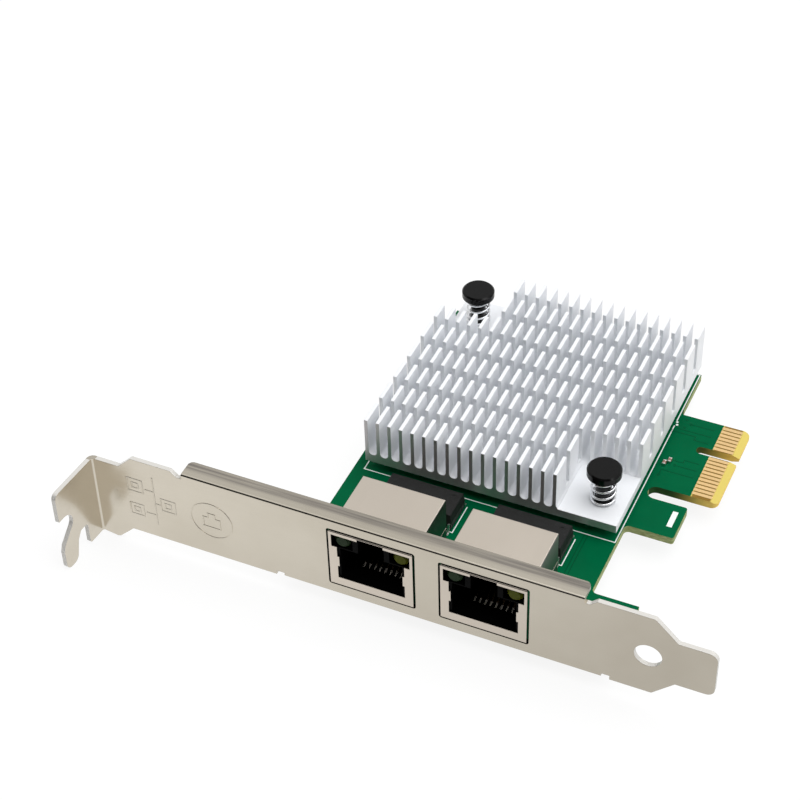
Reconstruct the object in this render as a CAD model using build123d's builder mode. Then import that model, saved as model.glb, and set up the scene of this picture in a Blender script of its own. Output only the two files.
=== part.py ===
"""Two-port network interface card with a full-height bracket, two shielded jacks with lamps,
transformer packages, and a pin-fin heatsink held over the controller by two sprung push-pins.

Lengths are in millimetres. +Z points away from the component side, +X runs along the board
towards the card-edge connector and +Y points away from the bracket. The origin is the card's
slot datum: the middle of the key notch, at the connector's edge, on the component side.
Positions below are measured along X from the heel of the bracket's tab, along Y from the
bracket's front face and along Z from the component side.
"""

import os
from math import atan2, cos, isclose, radians, sin, tan

from build123d import *

os.makedirs("parts", exist_ok=True)

# Board outline
board_t = 1.57
board_left = 39.8
board_right = 92.4
board_back = 79.0
board_gap = 0.24
foot_right = 101.4
foot_back = 15.75
guide_right = 101.6
guide_front = 33.9
guide_slot_front = 42.4
guide_slot_end = 93.3
corner_r = 1.0
slot_end_share = 0.98

# Card-edge connector
tongue_edge = 106.3
tongue_back = 66.5
key_y = 58.17
key_w = 1.9
key_end = 98.1
pad_pitch = 1.0
pad_w = 0.7
pad_t = 0.05
pad_start = 100.98
pad_end = 104.94
pads_long = 11
pads_short = 7
key_to_pad = 1.5
pad_margin = 0.75
bevel_l = 1.3
bevel_t = 0.42

# Bracket sheet
sheet = 0.86
bend_r = 0.4
plate_w = 18.42
strip_high = 13.15
strip_low = -5.8
shoulder_high_x = 9.25
shoulder_low_x = 7.7
tail_shoulder = 113.1
tail_end = 120.0
tail_low = 1.55
tail_w = 10.2
tail_r = 1.6
shoulder_r = 0.4
heel_r = 1.2
tail_hole_x = 108.05
tail_hole_d = 5.0

# Bracket tab with its open screw slot and locating notch
tab_lean = 5.0
tab_len = 11.45
tab_corner = 1.15
tab_low = -5.95
heel_low = -5.3
slot_w = 4.5
slot_x = 10.0
slot_z = 4.4
mouth_drop = 1.9
mouth_round = 0.5
mouth_finger = 1.0
slot_lead_x = 1.35
slot_lead_z = 1.8
notch_near = 4.05
notch_far = 7.15
notch_top = -0.1
notch_r = 0.5
notch_top_r = 0.7
notch_side_r = 0.4
notch_slope = 1.0
notch_fall = 1.5
finger_r = 1.5

# Bracket flange folded back along the top, and lip with ears under the board
flange_left = 19.6
flange_right = 96.4
flange_depth = 3.8
flange_r = 1.0
relief_w = 2.28
relief_floor = 1.0
relief_d = 1.15
lip_left = 39.2
lip_right = 99.95
lip_depth = 3.4
lip_relief_w = 1.6
lip_relief_h = 0.9
ear_w = 8.0
ear_depth = 8.6
ear_r = 2.0
ear_root_r = 0.6
ear_left_x = 44.2
ear_right_x = 95.4
ear_y = 5.0

# Bracket screws
screw_hole_r = 1.25
screw_gap = 0.03
screw_pass_r = 1.7
screw_head_r = 2.8
screw_head_h = 1.9
screw_crown = 0.6
screw_slot_w = 0.56
screw_slot_l = 2.8
screw_slot_d = 1.0
screw_tip = 0.8

# Jacks
port_x = 56.78
port_pitch = 21.38
port_w = 16.15
port_proud = 0.1
port_back = 14.8
port_low = 0.3
port_high = 13.4
port_sheet = 0.25
port_edge_r = 0.2
window_cut = 0.6
window_gap = 0.4
window_r = 0.5
plug_open_w = 12.98
plug_open_low = 2.1
lamp_open_low = 9.75
lamp_open_high = 12.6
lamp_open_w = 15.08
latch_w = 5.0
latch_overlap = 0.35
ground_tab_low = 5.0
ground_tab_high = 7.4
ground_tab_out = 0.36
seam_z = 6.4
seam_h = 0.25
leg_y = 6.5
leg_w = 1.5
leg_hole_r = 0.95
tail_below = 0.9
insert_gap = 0.08
plug_w = 12.0
plug_depth = 12.0
latch_depth = 9.5
latch_roof = 12.75
foot_r = 0.8
peg_x = 5.715
peg_y = 9.0
peg_r = 1.6
peg_tip = 0.5
hole_gap = 0.08

# Jack contacts
contact_pitch = 1.02
contact_count = 8
contact_w = 0.4
contact_t = 0.3
contact_gap = 0.1
contact_floor = 0.9
contact_front = 4.0
contact_rise_y = 10.6
contact_rise_z = 4.8
contact_tail_y = 11.0
contact_tail_step = 2.0
pin_hole_r = 0.45
pin_hole_sides = 8

# Jack lamps
lamp_inset = 2.475
lamp_z = 11.05
lamp_r = 1.45
lamp_front = 0.3
lamp_lens_l = 2.2
lamp_crown = 0.4
lamp_block_w = 4.0
lamp_block_h = 2.7
lamp_block_l = 3.0
lamp_lead = 0.45
lamp_lead_x = 0.8
lamp_lead_y = 13.6

# Transformer packages
mag_x = 56.25
mag_front = 19.8
mag_w = 14.7
mag_d = 6.6
mag_h = 4.0
mag_stand = 0.1
mag_split = 2.1
mag_draft = 6.0
dimple_r = 0.45
dimple_sides = 12
dimple_inset = 1.6
dimple_depth = 0.1
lead_pitch = 1.27
lead_count = 12
lead_w = 0.4
lead_t = 0.2
lead_reach = 1.2
lead_foot = 0.6

# Heatsink
sink_left = 42.2
sink_front = 29.0
sink_size = 50.0
sink_low = 2.37
sink_high = 12.58
channel_floor = 4.2
fin_t = 0.7
fin_count = 22
cut_w = 1.7
cut_pitch = 6.46
cut_count = 7
first_row = 5.1
pocket_w = 11.4
pocket_d = 13.5
pocket_r = 1.75
pocket_skim = 0.1

# Push-pins and springs
pin_inset_x = 4.65
pin_inset_y = 5.7
pin_head_r = 3.25
pin_head_h = 1.5
pin_head_edge = 0.3
pin_head_top = 12.0
pin_r = 1.5
pin_gap = 0.12
barb_r = 1.95
barb_land = 0.4
barb_l = 2.3
barb_tip_r = 1.0
split_w = 0.8
split_up = 2.6
spring_r = 2.2
spring_wire_r = 0.24
spring_wire_sides = 4
spring_turns = 4.5
spring_gap = 0.02

# Parts under the heatsink
chip_size = 17.0
chip_base_h = 0.6
chip_cap_size = 15.0
chip_h = 1.6
chip_draft = 12.0
pad_size = 14.0
pad_r = 0.7
flash_from_sink = (-16.7, -14.0)
flash_w = 4.9
flash_d = 3.9
flash_h = 1.45
crystal_from_sink = (14.8, 10.0)
crystal_w = 5.0
crystal_d = 3.2
crystal_h = 1.1
regulator_from_sink = (-16.2, 4.0)
regulator_w = 6.5
regulator_d = 3.5
regulator_h = 1.6
coil_from_sink = (-4.2, 18.0)
coil_w = 5.0
coil_h = 2.0
coil_corner = 1.0
coil_ring_r = 2.1
coil_core_r = 1.8
coil_ring_d = 0.4
capacitor_l = 2.0
capacitor_w = 1.25
capacitor_h = 0.85
capacitor_count = 6
resistor_l = 1.6
resistor_w = 0.8
resistor_h = 0.45
resistor_count = 5
chip_part_gap = 1.2
crystal_rim = 0.5
flash_leads_count = 8
flash_lead_h = 0.25
regulator_foot = 1.7
regulator_lead_w = 0.75

# Values that follow from the sizes above
plate_low = -(board_t + sheet)
plate_high = plate_low + plate_w
tail_high = tail_low + tail_w
board_front = sheet + board_gap
lean = radians(tab_lean)
sink_right = sink_left + sink_size
fin_pitch = (sink_size - fin_t) / (fin_count - 1)
channel_r = (fin_pitch - fin_t) / 2
cut_floor = channel_floor + channel_r
pocket_floor = channel_floor - pocket_skim
pin_x = sink_right - pin_inset_x
pin_y = sink_front + pin_inset_y
sink_x = sink_left + sink_size / 2
sink_y = sink_front + sink_size / 2
flash_place = (sink_x + flash_from_sink[0], sink_y + flash_from_sink[1])
crystal_place = (sink_x + crystal_from_sink[0], sink_y + crystal_from_sink[1])
coil_place = (sink_x + coil_from_sink[0], sink_y + coil_from_sink[1])
regulator_x = sink_x + regulator_from_sink[0]
regulator_y = sink_y + regulator_from_sink[1]
last_pad_y = key_y - key_to_pad - (pads_long - 1) * pad_pitch
tongue_front = last_pad_y - pad_w / 2 - pad_margin
guide_slot_r = (tongue_front - guide_slot_front) / 2
mouth_low = slot_z - slot_w / 2 - mouth_finger
cavity_top = lamp_open_low - latch_overlap

card = Plane(origin=(-tongue_edge, -key_y, 0))
face = Plane(origin=(-tongue_edge, -key_y, 0), x_dir=(1, 0, 0), z_dir=(0, -1, 0))
side = Plane(origin=(-tongue_edge, -key_y, 0), x_dir=(0, 1, 0), z_dir=(1, 0, 0))
tab_face = Plane(
    origin=(-tongue_edge + sheet, -key_y, 0),
    x_dir=(-sin(lean), -cos(lean), 0),
    z_dir=(-cos(lean), sin(lean), 0),
)

screw_places = [(ear_left_x, ear_y), (ear_right_x, ear_y)]
pin_places = [(pin_x, pin_y), (2 * sink_x - pin_x, 2 * sink_y - pin_y)]
port_places = [port_x, port_x + port_pitch]
contact_offsets = [contact_pitch * (i - (contact_count - 1) / 2) for i in range(contact_count)]
lamp_x = port_w / 2 - lamp_inset
lamp_lead_offsets = [lamp_x - lamp_lead_x, lamp_x + lamp_lead_x]

# The board: one routed panel with the guide tab, the slot behind it and the bevelled tongue
with BuildPart() as circuit_board:
    with BuildSketch(card):
        with BuildLine():
            FilletPolyline(
                [
                    (board_left, board_front),
                    (foot_right, board_front),
                    (foot_right, foot_back),
                    (board_right, foot_back),
                    (board_right, guide_front),
                    (guide_right, guide_front),
                    (guide_right, guide_slot_front),
                    (guide_slot_end, guide_slot_front),
                    (guide_slot_end, tongue_front),
                    (tongue_edge, tongue_front),
                    (tongue_edge, tongue_back),
                    (board_right, tongue_back),
                    (board_right, board_back),
                    (board_left, board_back),
                ],
                radius=[
                    0,
                    0,
                    0,
                    corner_r,
                    corner_r,
                    corner_r / 2,
                    corner_r / 2,
                    guide_slot_r * slot_end_share,
                    guide_slot_r * slot_end_share,
                    corner_r,
                    corner_r,
                    corner_r / 2,
                    0,
                    0,
                ],
                close=True,
            )
        make_face()
        with Locations((key_end + key_w / 2, key_y)):
            Circle(key_w / 2, mode=Mode.SUBTRACT)
            Rectangle(
                tongue_edge - key_end,
                key_w,
                align=(Align.MIN, Align.CENTER),
                mode=Mode.SUBTRACT,
            )
        with Locations(*screw_places):
            Circle(screw_pass_r, mode=Mode.SUBTRACT)
        with Locations(*pin_places):
            Circle(pin_r + pin_gap, mode=Mode.SUBTRACT)
        for x in port_places:
            with Locations((x - peg_x, peg_y), (x + peg_x, peg_y)):
                Circle(peg_r + hole_gap, mode=Mode.SUBTRACT)
            with Locations(
                (x - port_w / 2 + port_sheet / 2, leg_y),
                (x + port_w / 2 - port_sheet / 2, leg_y),
            ):
                RegularPolygon(leg_hole_r, pin_hole_sides, mode=Mode.SUBTRACT)
            with Locations(
                *[
                    (x + dx, contact_tail_y + (i % 2) * contact_tail_step)
                    for i, dx in enumerate(contact_offsets)
                ]
            ):
                RegularPolygon(pin_hole_r, pin_hole_sides, mode=Mode.SUBTRACT)
            with Locations(
                *[(x + s * dx, lamp_lead_y) for s in (-1, 1) for dx in lamp_lead_offsets]
            ):
                RegularPolygon(pin_hole_r, pin_hole_sides, mode=Mode.SUBTRACT)
    extrude(amount=-board_t)
    with BuildSketch(face.offset(-tongue_front)):
        for z, dz in ((0, -bevel_t), (-board_t, bevel_t)):
            with BuildLine():
                Polyline(
                    (tongue_edge - bevel_l, z),
                    (tongue_edge, z),
                    (tongue_edge, z + dz),
                    close=True,
                )
            make_face()
    extrude(amount=-(tongue_back - tongue_front), mode=Mode.SUBTRACT)
circuit_board.part.label = "circuit_board"
export_step(circuit_board.part, "parts/circuit_board.step")

# Contact pads on both sides of the tongue, on both sides of the key
pad_rows = [key_y - key_to_pad - i * pad_pitch for i in range(pads_long)]
pad_rows += [key_y + key_to_pad + i * pad_pitch for i in range(pads_short)]
with BuildPart() as edge_contacts:
    for z, thick in ((0, pad_t), (-board_t, -pad_t)):
        with BuildSketch(card.offset(z)):
            with Locations(*[((pad_start + pad_end) / 2, y) for y in pad_rows]):
                Rectangle(pad_end - pad_start, pad_w)
        extrude(amount=thick)
edge_contacts.part.label = "edge_contacts"
export_step(edge_contacts.part, "parts/edge_contacts.step")

# The bracket: plate and tab bent from one strip, then trimmed, folded at top and bottom
heel_x = sheet * (1 - 1 / cos(lean) + tan(lean))
tab_end_x = sheet - tab_len * sin(lean)
tab_end_y = -tab_len * cos(lean)
trim = 1.0
with BuildPart() as bracket:
    with BuildSketch(card.offset(tab_low)):
        with BuildLine():
            FilletPolyline(
                [
                    (tail_end, 0),
                    (sheet, 0),
                    (tab_end_x, tab_end_y),
                    (tab_end_x - sheet * cos(lean), tab_end_y + sheet * sin(lean)),
                    (heel_x, sheet),
                    (tail_end, sheet),
                ],
                radius=[0, bend_r, 0, 0, bend_r + sheet, 0],
                close=True,
            )
        make_face()
    extrude(amount=plate_high - tab_low)

    # Plate outline, from the heel of the tab to the narrow tail
    with BuildSketch(face.offset(trim)):
        with BuildLine():
            Polyline(
                (-2 * trim, tab_low - trim),
                (tail_end + trim, tab_low - trim),
                (tail_end + trim, plate_high + trim),
                (-2 * trim, plate_high + trim),
                close=True,
            )
        make_face()
        with BuildLine():
            FilletPolyline(
                [
                    (-3 * trim, heel_low),
                    (bend_r + sheet, heel_low),
                    (shoulder_low_x + strip_low - plate_low, strip_low),
                    (shoulder_low_x, plate_low),
                    (tail_shoulder - (tail_low - plate_low), plate_low),
                    (tail_shoulder, tail_low),
                    (tail_end, tail_low),
                    (tail_end, tail_high),
                    (tail_shoulder, tail_high),
                    (tail_shoulder - (plate_high - tail_high), plate_high),
                    (shoulder_high_x, plate_high),
                    (shoulder_high_x - (plate_high - strip_high), strip_high),
                    (-3 * trim, strip_high),
                ],
                radius=[
                    0,
                    0,
                    heel_r,
                    *[shoulder_r] * 3,
                    tail_r,
                    tail_r,
                    *[shoulder_r] * 4,
                    0,
                ],
                close=True,
            )
        make_face(mode=Mode.SUBTRACT)
    extrude(amount=-(sheet + 2 * trim), mode=Mode.SUBTRACT)

    # Tab outline: open screw slot, finger, and locating notch
    with BuildSketch(tab_face.offset(-trim)):
        with BuildLine():
            Polyline(
                (0, tab_low - trim),
                (tab_len + trim, tab_low - trim),
                (tab_len + trim, plate_high + trim),
                (0, plate_high + trim),
                close=True,
            )
        make_face()
        with BuildLine():
            FilletPolyline(
                [
                    (-trim, heel_low),
                    (notch_near, heel_low),
                    (notch_near, notch_top),
                    (notch_far - notch_slope, notch_top),
                    (notch_far, notch_top - notch_fall),
                    (notch_far + notch_slope, tab_low),
                    (tab_len, tab_low),
                    (tab_len, strip_high),
                    (-trim, strip_high),
                ],
                radius=[
                    0,
                    notch_r,
                    notch_top_r,
                    notch_side_r,
                    notch_top_r,
                    finger_r,
                    finger_r,
                    tab_corner,
                    0,
                ],
                close=True,
            )
        make_face(mode=Mode.SUBTRACT)
        with Locations((slot_x, slot_z)):
            Circle(slot_w / 2)
        with BuildLine():
            Polyline(
                (slot_x, slot_z + slot_w / 2),
                (tab_len + trim, slot_z + slot_w / 2),
                (tab_len + trim, mouth_low - mouth_drop - trim),
                (tab_len, mouth_low - mouth_round - mouth_drop),
                (tab_len - mouth_round, mouth_low - mouth_drop / 2),
                (slot_x, mouth_low),
                (slot_x - slot_lead_x, slot_z - slot_lead_z),
                close=True,
            )
        make_face()
    extrude(amount=sheet + 2 * trim, mode=Mode.SUBTRACT)

    # Flange folded back along the top edge, between two relief notches
    with BuildSketch(card.offset(plate_high - sheet)):
        with BuildLine():
            FilletPolyline(
                [
                    (flange_left, 0),
                    (flange_right, 0),
                    (flange_right, flange_depth),
                    (flange_left, flange_depth),
                ],
                radius=[0, 0, flange_r, flange_r],
                close=True,
            )
        make_face()
    extrude(amount=sheet)

    # Lip under the board, with two deeper ears for the screws
    ear_edges = [(x - ear_w / 2, x + ear_w / 2) for x in (ear_left_x, ear_right_x)]
    with BuildSketch(card.offset(plate_low)):
        with BuildLine():
            FilletPolyline(
                [
                    (lip_left, 0),
                    (lip_right, 0),
                    (lip_right, lip_depth),
                    (ear_edges[1][1], lip_depth),
                    (ear_edges[1][1], ear_depth),
                    (ear_edges[1][0], ear_depth),
                    (ear_edges[1][0], lip_depth),
                    (ear_edges[0][1], lip_depth),
                    (ear_edges[0][1], ear_depth),
                    (ear_edges[0][0], ear_depth),
                    (ear_edges[0][0], lip_depth),
                    (lip_left, lip_depth),
                ],
                radius=[0, 0, 0, 0, ear_r, ear_r, ear_root_r, ear_root_r, ear_r, ear_r, 0, 0],
                close=True,
            )
        make_face()
        with Locations(*screw_places):
            Circle(screw_hole_r, mode=Mode.SUBTRACT)
    extrude(amount=sheet)

    # Relief notches beside the folds, port windows and the hole in the tail
    with BuildSketch(face.offset(trim)):
        for x, out in ((flange_left, -1), (flange_right, 1)):
            with BuildLine():
                Polyline(
                    (x, plate_high + relief_d),
                    (x, plate_high - relief_d),
                    (x + out * relief_floor, plate_high - relief_d),
                    (x + out * relief_w, plate_high),
                    (x + out * relief_w, plate_high + relief_d),
                    close=True,
                )
            make_face()
        with Locations((lip_left, plate_low)):
            Rectangle(lip_relief_w, 2 * lip_relief_h, align=(Align.MAX, Align.CENTER))
        with Locations((lip_right, plate_low)):
            Rectangle(lip_relief_w, 2 * lip_relief_h, align=(Align.MIN, Align.CENTER))
        with Locations(*[(x, (port_low + port_high) / 2) for x in port_places]):
            RectangleRounded(
                port_w + 2 * window_gap,
                port_high - port_low + 2 * window_gap,
                window_r,
            )
        with Locations((tail_hole_x, (tail_low + tail_high) / 2)):
            Circle(tail_hole_d / 2)
    extrude(amount=-(trim + sheet), mode=Mode.SUBTRACT)

    # Bend radii along both folds
    flange_len = flange_right - flange_left
    lip_len = lip_right - lip_left
    straight = bracket.edges().filter_by(Axis.X)
    top_fold = straight.filter_by(lambda e: isclose(e.length, flange_len, abs_tol=0.01))
    fillet(top_fold.group_by(Axis.Z)[-1].sort_by(Axis.Y)[0], radius=bend_r)
    straight = bracket.edges().filter_by(Axis.X)
    low_fold = straight.filter_by(lambda e: isclose(e.length, lip_len, abs_tol=0.01))
    fillet(low_fold.group_by(Axis.Z)[0].sort_by(Axis.Y)[0], radius=bend_r)
bracket.part.label = "bracket"
export_step(bracket.part, "parts/bracket.step")

# Pan-head screws through the board into the tapped ears
with BuildPart() as bracket_screws:
    with BuildSketch(card):
        with Locations(*screw_places):
            Circle(screw_head_r)
    extrude(amount=screw_head_h)
    crowns = bracket_screws.edges().group_by(Axis.Z)[-1]
    chamfer(crowns, length=screw_crown)
    with BuildSketch(card):
        with Locations(*screw_places):
            Circle(screw_hole_r - screw_gap)
    extrude(amount=plate_low - screw_tip)
    with BuildSketch(card.offset(screw_head_h)):
        with Locations(*screw_places):
            Rectangle(screw_slot_l, screw_slot_w)
            Rectangle(screw_slot_w, screw_slot_l)
    extrude(amount=-screw_slot_d, mode=Mode.SUBTRACT)
bracket_screws.part.label = "bracket_screws"
export_step(bracket_screws.part, "parts/bracket_screws.step")

# Jack shield: folded sheet, open below, with the window frame for plug, latch and lamps
with BuildPart() as jack_shield_left:
    with BuildSketch(card.offset(port_low)):
        with Locations((port_x, (port_back - port_proud) / 2)):
            Rectangle(port_w, port_back + port_proud)
    extrude(amount=port_high - port_low)
    with BuildSketch(card.offset(port_low)):
        with Locations((port_x, (port_back - port_proud) / 2)):
            Rectangle(port_w - 2 * port_sheet, port_back + port_proud - 2 * port_sheet)
    extrude(amount=port_high - port_low - port_sheet, mode=Mode.SUBTRACT)
    with BuildSketch(face.offset(port_proud + port_sheet)):
        with BuildLine():
            Polyline(
                (port_x - plug_open_w / 2, plug_open_low),
                (port_x + plug_open_w / 2, plug_open_low),
                (port_x + plug_open_w / 2, ground_tab_low),
                (port_x + plug_open_w / 2 - ground_tab_out, ground_tab_low),
                (port_x + plug_open_w / 2 - ground_tab_out, ground_tab_high),
                (port_x + plug_open_w / 2, ground_tab_high),
                (port_x + plug_open_w / 2, lamp_open_low),
                (port_x + lamp_open_w / 2, lamp_open_low),
                (port_x + lamp_open_w / 2, lamp_open_high),
                (port_x + latch_w / 2, lamp_open_high),
                (port_x + latch_w / 2, port_high - port_sheet),
                (port_x - latch_w / 2, port_high - port_sheet),
                (port_x - latch_w / 2, lamp_open_high),
                (port_x - lamp_open_w / 2, lamp_open_high),
                (port_x - lamp_open_w / 2, lamp_open_low),
                (port_x - plug_open_w / 2, lamp_open_low),
                (port_x - plug_open_w / 2, ground_tab_high),
                (port_x - plug_open_w / 2 + ground_tab_out, ground_tab_high),
                (port_x - plug_open_w / 2 + ground_tab_out, ground_tab_low),
                (port_x - plug_open_w / 2, ground_tab_low),
                close=True,
            )
        make_face()
    extrude(amount=-window_cut, mode=Mode.SUBTRACT)
    shield_corners = jack_shield_left.edges().group_by(Axis.Z)[-1]
    fillet(shield_corners, radius=port_edge_r)
    with BuildSketch(side.offset(port_x - port_w / 2)):
        with Locations((leg_y, port_low)):
            Rectangle(leg_w, board_t + tail_below + port_low, align=(Align.CENTER, Align.MAX))
    extrude(amount=port_sheet)
    with BuildSketch(side.offset(port_x + port_w / 2)):
        with Locations((leg_y, port_low)):
            Rectangle(leg_w, board_t + tail_below + port_low, align=(Align.CENTER, Align.MAX))
    extrude(amount=-port_sheet)
    with BuildSketch(face.offset(-port_back)):
        with Locations((port_x - port_w / 2, seam_z), (port_x + port_w / 2, seam_z)):
            Rectangle(port_sheet, seam_h)
    extrude(amount=port_back - sheet, mode=Mode.SUBTRACT)
jack_shield_left.part.label = "jack_shield_left"
export_step(jack_shield_left.part, "parts/jack_shield_left.step")

# Moulded insert: plug cavity with latch channel, lamp pockets, contact channels, feet and pegs
insert_w = port_w - 2 * (port_sheet + insert_gap)
insert_back = port_back - port_sheet - insert_gap
insert_front = port_sheet + insert_gap - port_proud
insert_top = port_high - port_sheet - insert_gap
pocket_low = lamp_z - lamp_r
pocket_high = max(lamp_z + lamp_r, pocket_low + lamp_block_h) + hole_gap
pocket_side = lamp_block_w / 2 + hole_gap
pocket_end = lamp_front + lamp_lens_l + lamp_block_l
with BuildPart() as jack_housing_left:
    with BuildSketch(card.offset(port_low)):
        with Locations((port_x, (insert_front + insert_back) / 2)):
            Rectangle(insert_w, insert_back - insert_front)
    extrude(amount=insert_top - port_low)
    with BuildSketch(face.offset(-insert_front)):
        with Locations((port_x, plug_open_low)):
            Rectangle(plug_w, cavity_top - plug_open_low, align=(Align.CENTER, Align.MIN))
    extrude(amount=-plug_depth, mode=Mode.SUBTRACT)
    with BuildSketch(face.offset(-insert_front)):
        with Locations((port_x, cavity_top)):
            Rectangle(latch_w, latch_roof - cavity_top, align=(Align.CENTER, Align.MIN))
    extrude(amount=-latch_depth, mode=Mode.SUBTRACT)
    with BuildSketch(face.offset(-insert_front)):
        with Locations((port_x - lamp_x, pocket_low), (port_x + lamp_x, pocket_low)):
            Rectangle(2 * pocket_side, pocket_high - pocket_low, align=(Align.CENTER, Align.MIN))
    extrude(amount=-(pocket_end - insert_front), mode=Mode.SUBTRACT)
    # Channels for the lamp leads, back along the top and down behind
    lead_low = pocket_low + lamp_block_h / 2 - lamp_lead / 2
    with BuildSketch(card.offset(lead_low)):
        with Locations(*[(port_x + s * lamp_x, insert_back) for s in (-1, 1)]):
            Rectangle(
                2 * lamp_lead_x + lamp_lead + 2 * contact_gap,
                insert_back - pocket_end + hole_gap,
                align=(Align.CENTER, Align.MAX),
            )
    extrude(amount=lamp_lead + hole_gap, mode=Mode.SUBTRACT)
    with BuildSketch(card.offset(port_low)):
        with Locations(*[(port_x + s * lamp_x, insert_back) for s in (-1, 1)]):
            Rectangle(
                2 * lamp_lead_x + lamp_lead + 2 * contact_gap,
                insert_back - lamp_lead_y + lamp_lead / 2 + hole_gap,
                align=(Align.CENTER, Align.MAX),
            )
    extrude(amount=lead_low - port_low, mode=Mode.SUBTRACT)
    # Channels for the contacts in the floor of the cavity, open to the board at their tails
    for i, dx in enumerate(contact_offsets):
        tail_y = contact_tail_y + (i % 2) * contact_tail_step
        with BuildSketch(card.offset(contact_floor)):
            with Locations((port_x + dx, contact_front - contact_gap)):
                Rectangle(
                    contact_w + 2 * contact_gap,
                    tail_y + contact_t + 2 * contact_gap - contact_front,
                    align=(Align.CENTER, Align.MIN),
                )
        extrude(amount=plug_open_low - contact_floor, mode=Mode.SUBTRACT)
        with BuildSketch(card.offset(port_low)):
            with Locations((port_x + dx, tail_y)):
                Rectangle(contact_w + 2 * contact_gap, 2 * (contact_t + contact_gap))
        extrude(amount=contact_floor - port_low, mode=Mode.SUBTRACT)
    # Feet on the board, and pegs through it
    with BuildSketch(card):
        with Locations(
            *[
                (port_x + s * (insert_w / 2 - foot_r), y)
                for s in (-1, 1)
                for y in (insert_front + foot_r, lamp_lead_y - lamp_lead - foot_r)
            ]
        ):
            Rectangle(2 * foot_r, 2 * foot_r)
    extrude(amount=port_low)
    with BuildSketch(card.offset(port_low)):
        with Locations((port_x - peg_x, peg_y), (port_x + peg_x, peg_y)):
            Circle(peg_r)
    extrude(amount=-(port_low + board_t + tail_below))
    peg_tips = jack_housing_left.edges().group_by(Axis.Z)[0]
    chamfer(peg_tips, length=peg_tip)
jack_housing_left.part.label = "jack_housing_left"
export_step(jack_housing_left.part, "parts/jack_housing_left.step")

# Eight spring wires: tail in the board, run along the floor, bend and rise back into the cavity
run_top = contact_floor + contact_t
rise = atan2(contact_rise_z - run_top, contact_rise_y - contact_front)
with BuildPart() as jack_contacts_left:
    for i, dx in enumerate(contact_offsets):
        tail_y = contact_tail_y + (i % 2) * contact_tail_step
        with BuildSketch(side.offset(port_x + dx - contact_w / 2)):
            with BuildLine():
                Polyline(
                    (tail_y - contact_t / 2, -board_t - tail_below),
                    (tail_y - contact_t / 2, contact_floor),
                    (contact_front, contact_floor),
                    (contact_front, run_top),
                    (contact_rise_y, contact_rise_z),
                    (contact_rise_y + contact_t * sin(rise), contact_rise_z - contact_t * cos(rise)),
                    (contact_front + contact_t / sin(rise), run_top),
                    (tail_y + contact_t / 2, run_top),
                    (tail_y + contact_t / 2, -board_t - tail_below),
                    close=True,
                )
            make_face()
        extrude(amount=contact_w)
jack_contacts_left.part.label = "jack_contacts_left"
export_step(jack_contacts_left.part, "parts/jack_contacts_left.step")

# Lamp: domed lens on a block, with two leads bent down to the board
with BuildPart() as lamp_left_green:
    with BuildSketch(face.offset(-(lamp_front + lamp_lens_l))):
        with Locations((port_x - lamp_x, lamp_z)):
            Circle(lamp_r)
    extrude(amount=lamp_lens_l)
    dome = lamp_left_green.edges().filter_by(GeomType.CIRCLE).sort_by(Axis.Y)[0]
    chamfer(dome, length=lamp_crown)
    with BuildSketch(face.offset(-(lamp_front + lamp_lens_l))):
        with Locations((port_x - lamp_x, pocket_low)):
            Rectangle(lamp_block_w, lamp_block_h, align=(Align.CENTER, Align.MIN))
    extrude(amount=-lamp_block_l)
    with BuildSketch(face.offset(-pocket_end)):
        with Locations(*[(port_x - dx, lead_low) for dx in lamp_lead_offsets]):
            Rectangle(lamp_lead, lamp_lead, align=(Align.CENTER, Align.MIN))
    extrude(amount=-(lamp_lead_y + lamp_lead / 2 - pocket_end))
    with BuildSketch(card.offset(lead_low)):
        with Locations(*[(port_x - dx, lamp_lead_y) for dx in lamp_lead_offsets]):
            Rectangle(lamp_lead, lamp_lead)
    extrude(amount=-(lead_low + board_t + tail_below))
lamp_left_green.part.label = "lamp_left_green"
export_step(lamp_left_green.part, "parts/lamp_left_green.step")

with BuildPart() as lamp_left_yellow:
    with Locations((2 * lamp_x, 0, 0)):
        add(lamp_left_green.part)
lamp_left_yellow.part.label = "lamp_left_yellow"
export_step(lamp_left_yellow.part, "parts/lamp_left_yellow.step")

# The right-hand jack repeats the left-hand one
with BuildPart() as jack_shield_right:
    with Locations((port_pitch, 0, 0)):
        add(jack_shield_left.part)
jack_shield_right.part.label = "jack_shield_right"
export_step(jack_shield_right.part, "parts/jack_shield_right.step")

with BuildPart() as jack_housing_right:
    with Locations((port_pitch, 0, 0)):
        add(jack_housing_left.part)
jack_housing_right.part.label = "jack_housing_right"
export_step(jack_housing_right.part, "parts/jack_housing_right.step")

with BuildPart() as jack_contacts_right:
    with Locations((port_pitch, 0, 0)):
        add(jack_contacts_left.part)
jack_contacts_right.part.label = "jack_contacts_right"
export_step(jack_contacts_right.part, "parts/jack_contacts_right.step")

with BuildPart() as lamp_right_green:
    with Locations((port_pitch, 0, 0)):
        add(lamp_left_green.part)
lamp_right_green.part.label = "lamp_right_green"
export_step(lamp_right_green.part, "parts/lamp_right_green.step")

with BuildPart() as lamp_right_yellow:
    with Locations((port_pitch, 0, 0)):
        add(lamp_left_yellow.part)
lamp_right_yellow.part.label = "lamp_right_yellow"
export_step(lamp_right_yellow.part, "parts/lamp_right_yellow.step")

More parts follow.
